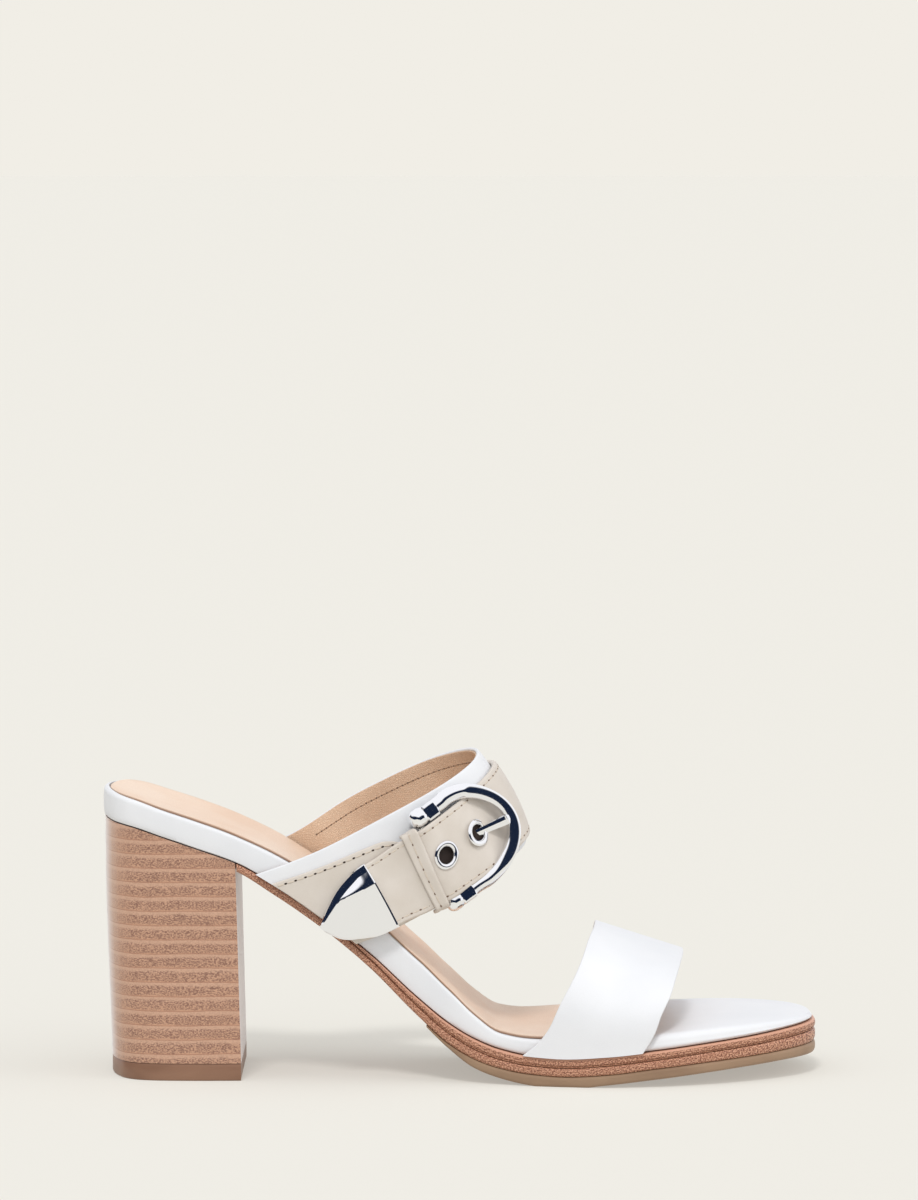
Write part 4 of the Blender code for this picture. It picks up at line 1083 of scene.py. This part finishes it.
# %% Strap surface
class Strap:
    """The middle surface of a band: along 0 to 1 from outer to inner side, across 0 to 1 from
    rear to front edge.  It is sampled once on a fine grid and read back between the samples."""

    def __init__(self, band, wraps):
        self.band = band
        self.wraps = wraps
        self.fold = SIDE_GAP + band.wall / 2    # radius of the fold round the footbed's edge
        self.alongs = np.linspace(-0.12, 1.12, 497)
        self.acrosses = np.linspace(-0.35, 1.35, 171)
        self.points = np.stack([self.strand(c) for c in self.acrosses], axis=1)
        ahead, beside = np.gradient(self.points, axis=(0, 1))
        self.normals = unit(np.cross(beside, ahead))
        print("band sampled at", len(self.alongs), "x", len(self.acrosses), "places")

    def base_x(self, side, across):
        rear, front = ((self.band.outer_rear, self.band.outer_front) if side < 0
                       else (self.band.inner_rear, self.band.inner_front))
        return mix(rear, front, across)

    def base_z(self, x):
        return seat(x) + (GAP + self.band.wall / 2) * steep(x)

    def reach(self, x, side):
        return side * (half_width(x, side) + SIDE_GAP + self.band.wall / 2)

    def crest(self, across):
        """Top of the band, from its rear to its front edge, crowned between them."""
        rear, front = self.band.rear_crest, self.band.front_crest
        run, fall = front[0] - rear[0], rear[1] - front[1]
        crown = self.band.crown * 4 * across * (1 - across) / math.hypot(run, fall)
        x, z = mix(rear[0], front[0], across), mix(rear[1], front[1], across)
        return x + crown * fall, z + crown * run

    def row(self, side, rise, ahead, front, across):
        """A point of the band at a side of the foot and a share of the rise."""
        share = ease((side + 1) / 2)
        outer, inner = self.base_x(-1, across), self.base_x(1, across)
        crest_x, crest_z = self.crest(across)
        x = mix(mix(outer, inner, share), crest_x, rise) + mix(ahead, front, across)
        z = mix(mix(self.base_z(outer), self.base_z(inner), share), crest_z, rise)
        hold = ease((rise - self.band.hug / 2) / self.band.hug)
        beside = abs(self.reach(x, 1 if side > 0 else -1))
        half = mix(self.band.rear_half, self.band.front_half, across)
        return np.array((x, side * mix(beside, half, hold), z))

    def strand(self, across):
        """One lengthwise line of the band; past both ends it runs on straight down the wall."""
        path = smooth_path([self.row(*wrap, across) for wrap in self.wraps])
        line = path(np.clip(self.alongs, 0.0, 1.0))
        for side, end in ((-1, 0.0), (1, 1.0)):
            foot, above = path(end), path(abs(end - 0.01))
            x = self.base_x(side, across)
            z = self.base_z(x)
            here = mix(x, foot[0], self.fold / (foot[2] - z))
            low = np.array((here, self.reach(here, side), z + self.fold))
            past = np.clip((self.alongs - end) * side, 0.0, None)[:, None]
            line = line + unit(low - foot) * np.linalg.norm(foot - above) / 0.01 * past
        return line

    def at(self, along, across, lift=0.0):
        """Points on the band, lifted off its middle surface to the outside."""
        along, across, lift = np.broadcast_arrays(along, across, lift)
        u = (along - self.alongs[0]) / (self.alongs[1] - self.alongs[0])
        v = (across - self.acrosses[0]) / (self.acrosses[1] - self.acrosses[0])
        i = np.clip(u.astype(int), 0, len(self.alongs) - 2)
        j = np.clip(v.astype(int), 0, len(self.acrosses) - 2)
        u, v = (u - i)[..., None], (v - j)[..., None]

        def between(grid):
            rear = mix(grid[i, j], grid[i + 1, j], u)
            return mix(rear, mix(grid[i, j + 1], grid[i + 1, j + 1], u), v)
        return between(self.points) + unit(between(self.normals)) * lift[..., None]

    def foot(self, side, across, height):
        """How far along the surface comes down to a height above the sole."""
        near = slice(0, 110) if side < 0 else slice(-1, -110, -1)
        lines = self.points[near]
        heights = lines[:, :, 2] - seat(lines[:, :, 0])
        ends = [np.interp(height, line, self.alongs[near]) for line in heights.T]
        return np.interp(across, self.acrosses, ends)


print("crests", round(INSTEP.rear_crest[1]), "and", round(TOE.rear_crest[1]), "mm up")


# %% [markdown]
# ## The belt's course
#
# The belt crosses the band at a slant and has measures of its own: holes so many millimetres from
# the bar, a seam so far from the edge.  This class turns such measures into the band's
# coordinates, with distances true to the leather, and square to the belt's middle line.

# %% Belt course
class Course:
    """The belt's way over the instep band: x along it, side across it to the toes, lift off it."""

    def __init__(self, strap):
        self.strap = strap
        line, = columns(BELT_LINE, "across")
        lean, = columns(LEAN, "lean")
        self.rise, = columns(BELT_RISE, "lift")
        alongs = np.linspace(-0.115, 1.02, 400)
        lines = line(alongs)
        points = strap.at(alongs, lines)
        self.lengths = lengths_along(points)
        self.lengths -= np.interp(BAR, alongs, self.lengths)
        d = 0.006
        tangent = strap.at(alongs + d, line(alongs + d)) - strap.at(alongs - d, line(alongs - d))
        ahead = (strap.at(alongs + d, lines) - strap.at(alongs - d, lines)) / (2 * d)
        beside = (strap.at(alongs, lines + d) - strap.at(alongs, lines - d)) / (2 * d)
        skew = -np.sum(beside * tangent, axis=1) / np.sum(ahead * tangent, axis=1)
        across_mm = 1 / np.linalg.norm(beside + skew[:, None] * ahead, axis=1)
        back = lean(self.lengths) / np.linalg.norm(ahead, axis=1)
        self.table = alongs, lines, skew * across_mm - back, across_mm
        print("belt's course", round(self.lengths[-1] - self.lengths[0]), "mm long")

    def on_strap(self, x, side):
        places = [np.interp(x, self.lengths, values) for values in self.table]
        along, line, along_mm, across_mm = places
        return along + along_mm * side, line + across_mm * side

    def at(self, x, side, lift):
        return self.strap.at(*self.on_strap(x, side), lift)

    def on_belt(self, x, side, height):
        """A point at a height over the belt's middle surface."""
        return self.at(x, side, self.rise(x) + height)

    def half(self, x):
        return mix(BELT_END_HALF, BELT_HALF, ease((x - BELT_START) / 12.0))

    def inner_end(self, side):
        """Where the belt comes down to the sole on the inner side of the foot."""
        xs = np.linspace(60.0, self.lengths[-1], 400)
        points = self.at(xs, side, BELT_RISE[-1].lift)
        heights = points[:, 2] - seat(points[:, 0])
        return float(np.interp(-BELT_FOOT, -heights, xs))


print("the belt rises up to", max(row.lift for row in BELT_RISE), "mm off the band")


# %% [markdown]
# ## Bands
#
# Each band is one curved strip that springs from under the footbed, closes over the foot and goes
# down the other side.  A table of how far it has climbed at each place across the foot gives a
# smooth line for every lengthwise strand of it, and the leather's own cut, with turned-over edges,
# is swept along those lines.

# %% Toe band and instep band
toe = Strap(TOE, TOE_WRAP)
instep = Strap(INSTEP, INSTEP_WRAP)
FOOT_CLEAR = 0.12     # between the bands' feet and the sole


def band(name, strap, count, low, high, radius, inset, finish):
    """A layer of a band between two heights over its middle surface."""
    sections = []
    for share in np.linspace(0, 1, count + 1):
        width = np.linalg.norm(strap.at(share, 1.0) - strap.at(share, 0.0))
        side, height = strip(inset, width - inset, low, high, radius, 18).T
        across = side / width
        along = mix(strap.foot(-1, across, FOOT_CLEAR), strap.foot(1, across, FOOT_CLEAR), share)
        sections.append(strap.at(along, across, height))
    return lofted(name, sections, finish, sharp=60.0)


keep(band("toe_band", toe, 110, -0.25, TOE.wall / 2, 0.5, 0.0, "white leather"),
     "white_leather", "toe_strap")
keep(band("toe_band_lining", toe, 110, -TOE.wall / 2, -0.28, 0.25, 0.45, "lining leather"),
     "tan_leather")
keep(band("instep_band", instep, 150, -0.3, INSTEP.wall / 2, 0.55, 0.0, "white leather"),
     "white_leather", "instep_strap")
keep(band("instep_lining", instep, 150, -INSTEP.wall / 2, -0.33, 0.25, 0.4, "lining leather"),
     "tan_leather")

# %% [markdown]
# ## Belt, overlay and keeper
#
# The belt lies on the instep band and rises over the buckle's bar and prong.  Everything on it is
# laid out along its middle line, as a saddler marks out a strap: so far along, so far to the side,
# so far up.

# %% Overlay under the belt
course = Course(instep)
OVERLAY_FOOT = 0.35   # its end above the sole
overlay_share = [k / (len(OVERLAY) - 1) for k in range(len(OVERLAY))]
overlay_curves = [Curve(overlay_share, values) for values in zip(*OVERLAY)]


def overlay_place(share, across_share):
    """Strap coordinates of a place on the overlay."""
    rear_along, rear_across, front_along, front_across = (curve(share) for curve in overlay_curves)
    across = mix(rear_across, front_across, across_share)
    along = mix(rear_along, front_along, across_share)
    foot = instep.foot(-1, across, OVERLAY_FOOT)
    return along + (foot - OVERLAY[0].rear_along) * ease(1 - share * 3), across


def overlay_width(share):
    ends = instep.at(*overlay_place(share, np.array((0.0, 1.0))))
    return np.linalg.norm(ends[1] - ends[0])


def overlay_section(share):
    low = INSTEP.wall / 2 + 0.06
    high = INSTEP.wall / 2 + GAP + OVERLAY_WALL
    width = overlay_width(share)
    side, height = strip(0.0, width, low, high, 0.5, 14).T
    return instep.at(*overlay_place(share, side / width), height)


side_overlay = lofted("overlay_leather", [overlay_section(k / 70) for k in range(71)],
                      "bone leather", sharp=60.0)
keep(side_overlay, "bone_leather", "side_overlay")

# %% Belt
STITCH_INSET = 1.6
DRILL_RADIUS = 2.95


def belt_height(side, half):
    """The belt's padded top: a low crown, pressed down along both seams."""
    pressed = np.exp(-((np.abs(side) - (half - STITCH_INSET)) / 0.45) ** 2)
    return 0.22 * (1 - (side / half) ** 2) - 0.14 * pressed


def belt_section(share, ends):
    side, height = strip(-BELT_HALF, BELT_HALF, -BELT_WALL / 2, BELT_WALL / 2, 0.7, 34).T
    x = mix(BELT_START, ends(side), share)
    lift = np.where(height > 0.2, belt_height(side, BELT_HALF), 0.0)
    return course.on_belt(x, side * course.half(x) / BELT_HALF, height + lift)


def circle(hole, radius, height, count):
    """Points round a hole, at a height over the belt."""
    angles = np.arange(count) * 2 * math.pi / count
    ahead, aside = radius * np.cos(angles), radius * np.sin(angles)
    return course.on_belt(hole.x + ahead, hole.side + aside, height)


belt_sides = [-BELT_HALF, 0.0, BELT_HALF]
belt_ends = Curve(belt_sides, [course.inner_end(side) for side in belt_sides])
belt = lofted("belt_leather", [belt_section(k / 150, belt_ends) for k in range(151)],
              "bone leather", sharp=60.0)
drills = [lofted(f"drill_{number}", [circle(hole, DRILL_RADIUS, h, 48) for h in (-2.0, 0.0, 2.4)],
                 "bone leather") for number, hole in enumerate(HOLES, 1)]
for drill in drills:
    bite = belt.modifiers.new(drill.name, "BOOLEAN")
    bite.object = drill
    bite.operation = "DIFFERENCE"
    bite.solver = "EXACT"
settle(belt)
for drill in drills:
    bpy.data.objects.remove(drill, do_unlink=True)
belt.data.shade_smooth()
belt.data.set_sharp_from_angle(angle=math.radians(50))
keep(belt, "bone_leather", "belt")

# %% Keeper
KEEPER_SIDE = BELT_HALF + GAP + KEEPER_WALL / 2
KEEPER_CORNER = 1.6
KEEPER_END = -2.2     # height over the belt at which the loop's ends stop
KEEPER_STEP = 1.2     # between two sections of the mesh


def keeper_line():
    """The loop's middle line round the belt: side, height over the belt and outward normal."""
    low, top = KEEPER_END, BELT_WALL / 2 + GAP + KEEPER_WALL / 2 + 0.1
    corners = [(-KEEPER_SIDE, low), (-KEEPER_SIDE, top), (KEEPER_SIDE, top), (KEEPER_SIDE, low)]
    line = fillet(corners, KEEPER_CORNER, 8, closed=False)
    dense = []
    for a, b in zip(line, line[1:]):
        pieces = max(1, int(math.dist(a, b) / KEEPER_STEP))
        shares = [k / pieces for k in range(pieces)]
        dense += [(mix(a[0], b[0], share), mix(a[1], b[1], share)) for share in shares]
    dense.append(line[-1])
    out = []
    for k, point in enumerate(dense):
        a, b = dense[max(k - 1, 0)], dense[min(k + 1, len(dense) - 1)]
        size = math.dist(a, b)
        out.append((*point, -(b[1] - a[1]) / size, (b[0] - a[0]) / size))
    return out


def keeper_relief(x):
    """Across its width the loop has a turned edge at the front and a seam at the rear."""
    return 0.16 * np.exp(-((x - 1.35) / 0.75) ** 2) - 0.14 * np.exp(-((x + 0.55) / 0.28) ** 2)


keeper_sections = []
for side, height, out_side, out_height in keeper_line():
    x, h = strip(-KEEPER_WIDTH / 2, KEEPER_WIDTH / 2, -KEEPER_WALL / 2, KEEPER_WALL / 2, 0.5, 16).T
    h = h + np.where(h > 0, keeper_relief(x), 0.0)
    here = KEEPER_PLACE + x
    lift = np.maximum(course.rise(here) + height + out_height * h, KEEPER_FOOT)
    keeper_sections.append(course.at(here, side + out_side * h, lift))
keep(lofted("keeper_loop", keeper_sections, "bone leather", sharp=60.0), "bone_leather", "keeper")

# %% [markdown]
# ## Metal tip
#
# The tip is cast and polished, and polished metal shows every facet.  It has one broad flat, a
# domed field sunk behind a ridge, and a narrow slope along its rear border.  The flat is a true
# plane, cut off the belt's rounded course, so that it mirrors one even tone.

# %% Belt tip
# crease: inner line of the narrow facet along the tip's rear border; sink: how far that line lies
# under the broad flat
FACETS = table("x crease sink",
    (-20.0, -9.4, 1.10), (-22.0, -9.0, 1.20), (-24.2, -8.1, 1.42), (-27.0, -6.9, 1.20),
    (-29.0, -6.0, 0.85), (-32.0, -4.4, 0.12), (-34.0, -3.2, 0.0), (-37.0, -1.1, 0.0),
    (-39.5, 0.7, 0.0), (-41.4, 1.4, 0.0))
TIP_RIDGE = -4.0      # side of the ridge between the broad flat and the sunken field behind it
TIP_BASE = BELT_RISE[0].lift - BELT_WALL / 2
TIP_ROWS = 70
tip_rear, tip_front = columns(TIP, "rear", "front", sign=-1)
facet_crease, facet_sink = columns(FACETS, "crease", "sink", sign=-1)
tip_point = course.at(TIP[0].x - 1.2, TIP_RIDGE, TIP_BASE + TIP_HEIGHT)
tip_facing = unit(np.array((0.0, -1.0, 0.02)))


def plane_lift(point, facing, x, side):
    """Lift over the band at which a place on the belt's course meets a plane."""
    ground = course.at(x, side, 0.0)
    up = course.at(x, side, 1.0) - ground
    return np.sum((point - ground) * facing, axis=-1) / np.sum(up * facing, axis=-1)


def tip_section(x, drop):
    rear, front = -tip_rear(-x), tip_front(-x)
    room = front - rear
    crease = min(max(facet_crease(-x), rear + 0.12 * room), front - 0.3 * room)
    ridge = max(TIP_RIDGE, crease + 0.02 * room)
    lip = rear + min(0.3, 0.05 * room)
    brow = front - min(0.8, 0.1 * room)
    sides = (rear, rear, lip, crease, ridge, brow, front)
    sink = facet_sink(-x)
    under = (sink + 1.3, sink + 0.8, sink + 0.42, sink, 0.0, 0.0, 0.45)
    line = []
    for k, steps in enumerate((3, 2, 6, 14, 24, 3)):
        share = np.arange(steps) / steps
        bent = 1 - (1 - share) ** 1.4 if k == 3 else share     # the sunken field is slightly domed
        side, depth = mix(sides[k], sides[k + 1], share), mix(under[k], under[k + 1], bent)
        line.append(np.column_stack((side, depth)))
    side, depth = np.concatenate(line + [[(front, 0.45), (front, 1.0), (rear, 1.0)]]).T
    lift = np.maximum(plane_lift(tip_point, tip_facing, x, side) - depth - drop, TIP_BASE + 0.2)
    lift[-2:] = TIP_BASE
    return course.at(x, side, lift)


tip_length = TIP[0].x - TIP[-1].x
tip_places = [(TIP[0].x + 0.5, 0.55), (TIP[0].x + 0.42, 0.2)]      # its mouth is rounded over
tip_places += [(TIP[0].x - tip_length * math.sin(math.pi / 2 * k / TIP_ROWS), 0.0)
               for k in range(TIP_ROWS + 1)]
tip = lofted("tip_metal", [tip_section(*place) for place in tip_places], "polished metal",
             sharp=7.0)
keep(tip, "chrome", "belt_tip")

# %% [markdown]
# ## Buckle
#
# The frame and the prong are rods that were bent and then filed: round in one place, flat on top
# in another.  Each is swept from a table of where it goes, how thick it is and how flat, and its
# outline is turned so that the filed flats face one way, as on a wheel-polished casting.


# %% Swept rods
def finer(rows, count):
    """More rows of a rod table, on smooth lines through its columns."""
    rows = np.array(rows, float)
    keys = lengths_along(rows[:, :3])
    at = np.linspace(0, 1, count + 1)
    others = [Curve(keys, values)(keys[-1] * at) for values in rows[:, 3:].T]
    return np.column_stack((smooth_path(rows[:, :3])(at), *others))


def rod(name, rows, cuts, facing, sharp=75.0):
    """A metal rod.  Its cuts, in shares of its radius, stay square to its path, tops to facing."""
    x, side, lift, radius = rows[:, :4].T
    centres = course.at(x, side, lift)
    ahead = unit(np.gradient(centres, axis=0))
    up = unit(facing - np.sum(facing * ahead, axis=1, keepdims=True) * ahead)
    beside = np.cross(ahead, up)
    sections = [centre + size * (cut[:, :1] * right + cut[:, 1:] * above)
                for centre, size, cut, right, above in zip(centres, radius, cuts, beside, up)]
    return lofted(name, sections, "polished metal", sharp=sharp)


turns = np.arange(36) * math.pi / 18
round_cut = np.column_stack((np.cos(turns), FRAME_FLAT * np.sin(turns)))
square_cut = np.sign(round_cut) * np.abs(np.column_stack((np.cos(turns), np.sin(turns)))) ** 0.32
square_cut[:, 1] *= FRAME_FLAT


def tube_cut(flat, ridge):
    """The frame's cut: round, or flat on top, or with two flats that meet in a ridge."""
    cut = mix(round_cut, square_cut, flat)
    cut[:, 1] -= np.where(cut[:, 1] > 0, ridge * np.abs(cut[:, 0]), 0.0)
    return cut


print(len(round_cut), "points round a rod")


# %% Buckle frame
FRAME_PINCH = 1.2     # how far the front arm tucks in under the belt's edge
REAR_ARM = 1.08       # the rear arm is this much stouter
REAR_SHIFT = 0.6      # and lies this much nearer to the belt
FRAME_BASE = 4.4      # lift of the frame's plane at the bar
ARM_SIDE = FRAME_RADIUS - 0.2
ARC_ROWS = 48
Tube = namedtuple("Tube", "x side lift radius flat ridge")
# the ball end, the flat collar that holds the bar, then the round arm
tube_arm = [Tube(x, ARM_SIDE, 0.0, radius, flat, 0.0) for x, radius, flat in (
    (-3.0, 0.4, 0.0), (-2.7, 1.6, 0.0), (-1.9, 2.45, 0.0), (-0.5, 2.95, 0.0), (0.9, 2.95, 0.0),
    (2.2, 2.65, 0.0), (2.5, 2.55, 1.0), (6.7, 2.45, 1.0), (7.0, 2.4, 0.0), (9.5, 2.35, 0.0))]
tube_arc = []
for k in range(1, ARC_ROWS):
    angle = math.pi * k / ARC_ROWS
    share = math.sin(angle)
    x, side = FRAME_CENTRE + (FRAME_RADIUS - 0.6) * share, FRAME_RADIUS * math.cos(angle)
    side += REAR_SHIFT * (1 - share) if side < 0 else 0.0
    flat = ease((x - 14.0) / 7.0) if side > 0 else ease((x - 18.0) / 1.8)
    stout = mix(2.4 if side > 0 else 2.4 * REAR_ARM, 1.95, share ** 2)
    tube_arc.append(Tube(x, side, 0.0, stout, flat, 0.125 * flat))
rear_arm = [row._replace(side=REAR_SHIFT - row.side, radius=REAR_ARM * row.radius)
            for row in tube_arm[::-1]]


def seated(row):
    """The row moved to the frame's place on the belt, tucked in at the front."""
    tuck = FRAME_PINCH * max(row.side / FRAME_RADIUS, 0.0) ** 2
    return row._replace(side=row.side + FRAME_SIDE - tuck)


tube_rows = finer([seated(row) for row in tube_arm + tube_arc + rear_arm], 360)
bar_sides = 13.0, 5.0, -5.0, -14.0
bar_rows = finer([(0.0, FRAME_SIDE + side, 0.0, BAR_RADIUS) for side in bar_sides], 15)

# The frame is stiff: it doesn't follow the band but lies in one plane, its flats facing one way.
frame_point = course.at(1.0, 0.0, FRAME_BASE)
frame_facing = unit(np.array((0.33, -0.931, 0.156)))
for rows in (tube_rows, bar_rows):
    rows[:, 2] += plane_lift(frame_point, frame_facing, rows[:, 0], rows[:, 1])
keep(rod("buckle_frame_metal", tube_rows, [tube_cut(*row[4:]) for row in tube_rows], frame_facing),
     "chrome", "buckle_frame")
keep(rod("buckle_bar_metal", bar_rows, [round_cut] * len(bar_rows), frame_facing), "chrome")

# %% Prong
prong_facing = unit(np.array((0.108, -0.99, 0.096)))
prong_rows = finer(PRONG, 160)
prong_cut = np.array([(-1.0, -0.5), (1.0, -0.5), (1.0, 0.3), (-0.08, 0.6), (-0.86, 0.52),
                      (-1.0, 0.38)])
prong_cuts = [prong_cut - (0.0, 1.0) * (prong_cut[:, 1:] > 0) * low for low in prong_rows[:, 4]]
keep(rod("prong_metal", prong_rows, prong_cuts, prong_facing, sharp=12.0),
     "chrome", "buckle_prong")

# %% [markdown]
# ## Eyelets
#
# An eyelet is a thin metal ring with a rounded brim, closed over the edge of its hole.  It is one
# small outline turned round the hole's middle.  Behind it a dark disc stands for the shade inside.

# %% Eyelets
EYELET_TILTS = 0.0, 0.26       # lift over its width: the prong pushes the second ring askew
eyelet_cut = np.array(fillet([(2.35, 0.3), (2.65, 0.3), (2.72, 1.2), (4.2, 1.2), (4.15, 1.55),
                              (3.55, 1.92), (2.8, 1.72), (2.35, 1.05)], 0.35, 4))
for number, (hole, tilt) in enumerate(zip(HOLES, EYELET_TILTS), 1):
    radius, height = eyelet_cut.T
    sections = []
    for angle in np.arange(72) * math.pi / 36:
        ahead, aside = radius * math.cos(angle), radius * math.sin(angle)
        sections.append(course.on_belt(hole.x + ahead, hole.side + aside, height - tilt * ahead))
    keep(lofted(f"eyelet_{number}_metal", sections, "polished metal", around=True, sharp=75.0),
         "chrome", f"eyelet_{number}")

# %% Shade inside the holes
for number, hole in enumerate(HOLES, 1):
    discs = [circle(hole, 2.9, height, 40) for height in (-0.55, -0.75)]
    # painted shade: a dark disc under each hole, for the shadow inside it
    keep(lofted(f"hole_shade_disc_{number}", discs, "hole shade"), "bone_leather")

# %% [markdown]
# ## Seams
#
# A seam is one short thread repeated at an even pitch, dipping into a needle hole between each two.
# The hole is a small dark bead: painted shade.  Geometry Nodes does the repeating: it takes a line
# laid along the leather, turned to lie on it by an "up" direction on every point, and sets one
# thread and one hole on every step.

# %% Stitch nodes
STITCH_SIZES = "Pitch", "Thread length", "Thread width", "Hole length", "Hole width"


def stitch_group():
    tree = bpy.data.node_groups.new("stitches", "GeometryNodeTree")
    for way, kind, names in (("INPUT", "NodeSocketGeometry", ["Geometry"]),
                             ("INPUT", "NodeSocketFloat", STITCH_SIZES),
                             ("INPUT", "NodeSocketMaterial", ["Thread", "Hole"]),
                             ("OUTPUT", "NodeSocketGeometry", ["Geometry"])):
        for name in names:
            tree.interface.new_socket(name, in_out=way, socket_type=kind)
    node = Nodes(tree)
    given = node("NodeGroupInput").node.outputs

    def bead(part, flat):
        """A small rounded bead, long along its own Z."""
        wide = given[f"{part} width"]
        ball = node("GeometryNodeMeshUVSphere", {"Segments": 8, "Rings": 7, "Radius": 0.5})
        size = node("ShaderNodeCombineXYZ", {"X": wide, "Y": node.math("MULTIPLY", wide, flat),
                                             "Z": given[f"{part} length"]})
        shaped = node("GeometryNodeTransform", {"Geometry": ball, "Scale": size})
        return node("GeometryNodeSetMaterial", {"Geometry": shaped, "Material": given[part]})

    halfway = node("ShaderNodeCombineXYZ", {"Z": node.math("MULTIPLY", given["Pitch"], 0.5)})
    both = node("GeometryNodeJoinGeometry", {0: bead("Thread", 0.7)})
    # the hole bead takes a dark finish: painted shade in the needle hole
    hole = node("GeometryNodeTransform", {"Geometry": bead("Hole", 0.35), "Translation": halfway})
    node.fill(both.node, {0: hole})

    line = node("GeometryNodeMeshToCurve", {"Mesh": given["Geometry"]})
    steps = node("GeometryNodeResampleCurve", {"Curve": line, "Length": given["Pitch"]},
                 mode="LENGTH")
    up = node("GeometryNodeInputNamedAttribute", {"Name": "up"}, "Attribute",
              data_type="FLOAT_VECTOR")
    ahead = node("GeometryNodeInputTangent")
    lying = node("FunctionNodeAlignRotationToVector", {"Vector": ahead}, axis="Z")
    upright = node("FunctionNodeAlignRotationToVector", {"Rotation": lying, "Vector": up},
                   axis="Y", pivot_axis="Z")
    spread = node("GeometryNodeInstanceOnPoints",
                  {"Points": steps, "Instance": both, "Rotation": upright})
    node("NodeGroupOutput", {"Geometry": node("GeometryNodeRealizeInstances", {0: spread})})
    print(tree.name, "of", len(tree.nodes), "nodes")
    return tree


STITCHES = stitch_group()


# %% Sewing
def seam(name, points, ups, slot, thread, hole, *sizes):
    """Sew along a line of points, lying on the leather whose outward direction is ups."""
    mesh = bpy.data.meshes.new(name)
    mesh.from_pydata(in_metres(points), [(k, k + 1) for k in range(len(points) - 1)], [])
    tag(mesh, "up", ups)
    item = placed(name, mesh)
    sewing = item.modifiers.new("sewing", "NODES")
    sewing.node_group = STITCHES
    inputs = {socket.name: socket.identifier for socket in STITCHES.interface.items_tree
              if socket.in_out == "INPUT"}
    for key, value in zip(STITCH_SIZES, sizes):
        sewing[inputs[key]] = value * MM
    sewing[inputs["Thread"]] = finishes[thread]
    sewing[inputs["Hole"]] = finishes[hole]
    settle(item)
    item.data.shade_smooth()
    keep(item, slot)


def on_surface(place, lift, *coordinates):
    """Points at a lift over a surface, and the direction straight up from it."""
    points = place(*coordinates, lift)
    return points, unit(place(*coordinates, lift + 0.5) - points)


print("a stitch is set by its", ", ".join(STITCH_SIZES).lower())


# %% Sew the overlay
overlay_top = INSTEP.wall / 2 + GAP + OVERLAY_WALL
SEAM_TURN = 0.93      # share of the overlay's length at which the seam turns across it
overlay_line = [overlay_place(share, STITCH_INSET / overlay_width(share))
                for share in np.linspace(0.02, SEAM_TURN, 60)]
overlay_line += [overlay_place(SEAM_TURN, turned) for turned in np.linspace(0.1, 0.5, 8)]
seam("overlay_seam", *on_surface(instep.at, overlay_top + 0.05, *np.array(overlay_line).T),
     "bone_leather", "thread", "needle hole", 3.1, 2.3, 0.5, 0.95, 0.6)

# %% Sew the belt
belt_top = BELT_WALL / 2 + belt_height(BELT_HALF - STITCH_INSET, BELT_HALF)
for name, side in (("rear", -1), ("front", 1)):
    xs = np.linspace(BELT_START + 0.6, course.inner_end(side * BELT_HALF) - 2.0, 240)
    sides = side * (BELT_HALF - STITCH_INSET) * course.half(xs) / BELT_HALF
    seam(f"belt_seam_{name}", *on_surface(course.on_belt, belt_top + 0.04, xs, sides),
         "bone_leather", "thread", "soft hole", 3.15, 2.3, 0.45, 0.85, 0.5)

# %% Sew the keeper
KEEPER_PITCH = 4.3
sides = np.linspace(-KEEPER_SIDE + 1.4, KEEPER_SIDE - 3.0, 40)
keeper_top = BELT_WALL / 2 + GAP + KEEPER_WALL + 0.1
wander = 0.16 * np.sin(sides * 2 * math.pi / KEEPER_PITCH)
seam_line = KEEPER_PLACE - 0.55 + wander, sides
seam("keeper_seam", *on_surface(course.on_belt, keeper_top - 0.08, *seam_line), "bone_leather",
     "thread", "soft hole", KEEPER_PITCH, 3.4, 0.45, 0.8, 0.6)

# %% Sew the lining
LINING_INSET = 5.0
along = np.linspace(0.07, 0.93, 200)
width = np.linalg.norm(instep.at(along, 1.0) - instep.at(along, 0.0), axis=1)
lining_line = along, LINING_INSET / width
points = instep.at(*lining_line, -INSTEP.wall / 2 - 0.02)
inwards = unit(instep.at(*lining_line, -2.0) - instep.at(*lining_line, 0.0))
seam("lining_seam", points, inwards, "tan_leather", "brown thread", "soft hole",
     1.9, 1.2, 0.34, 0.75, 0.5)

# %% [markdown]
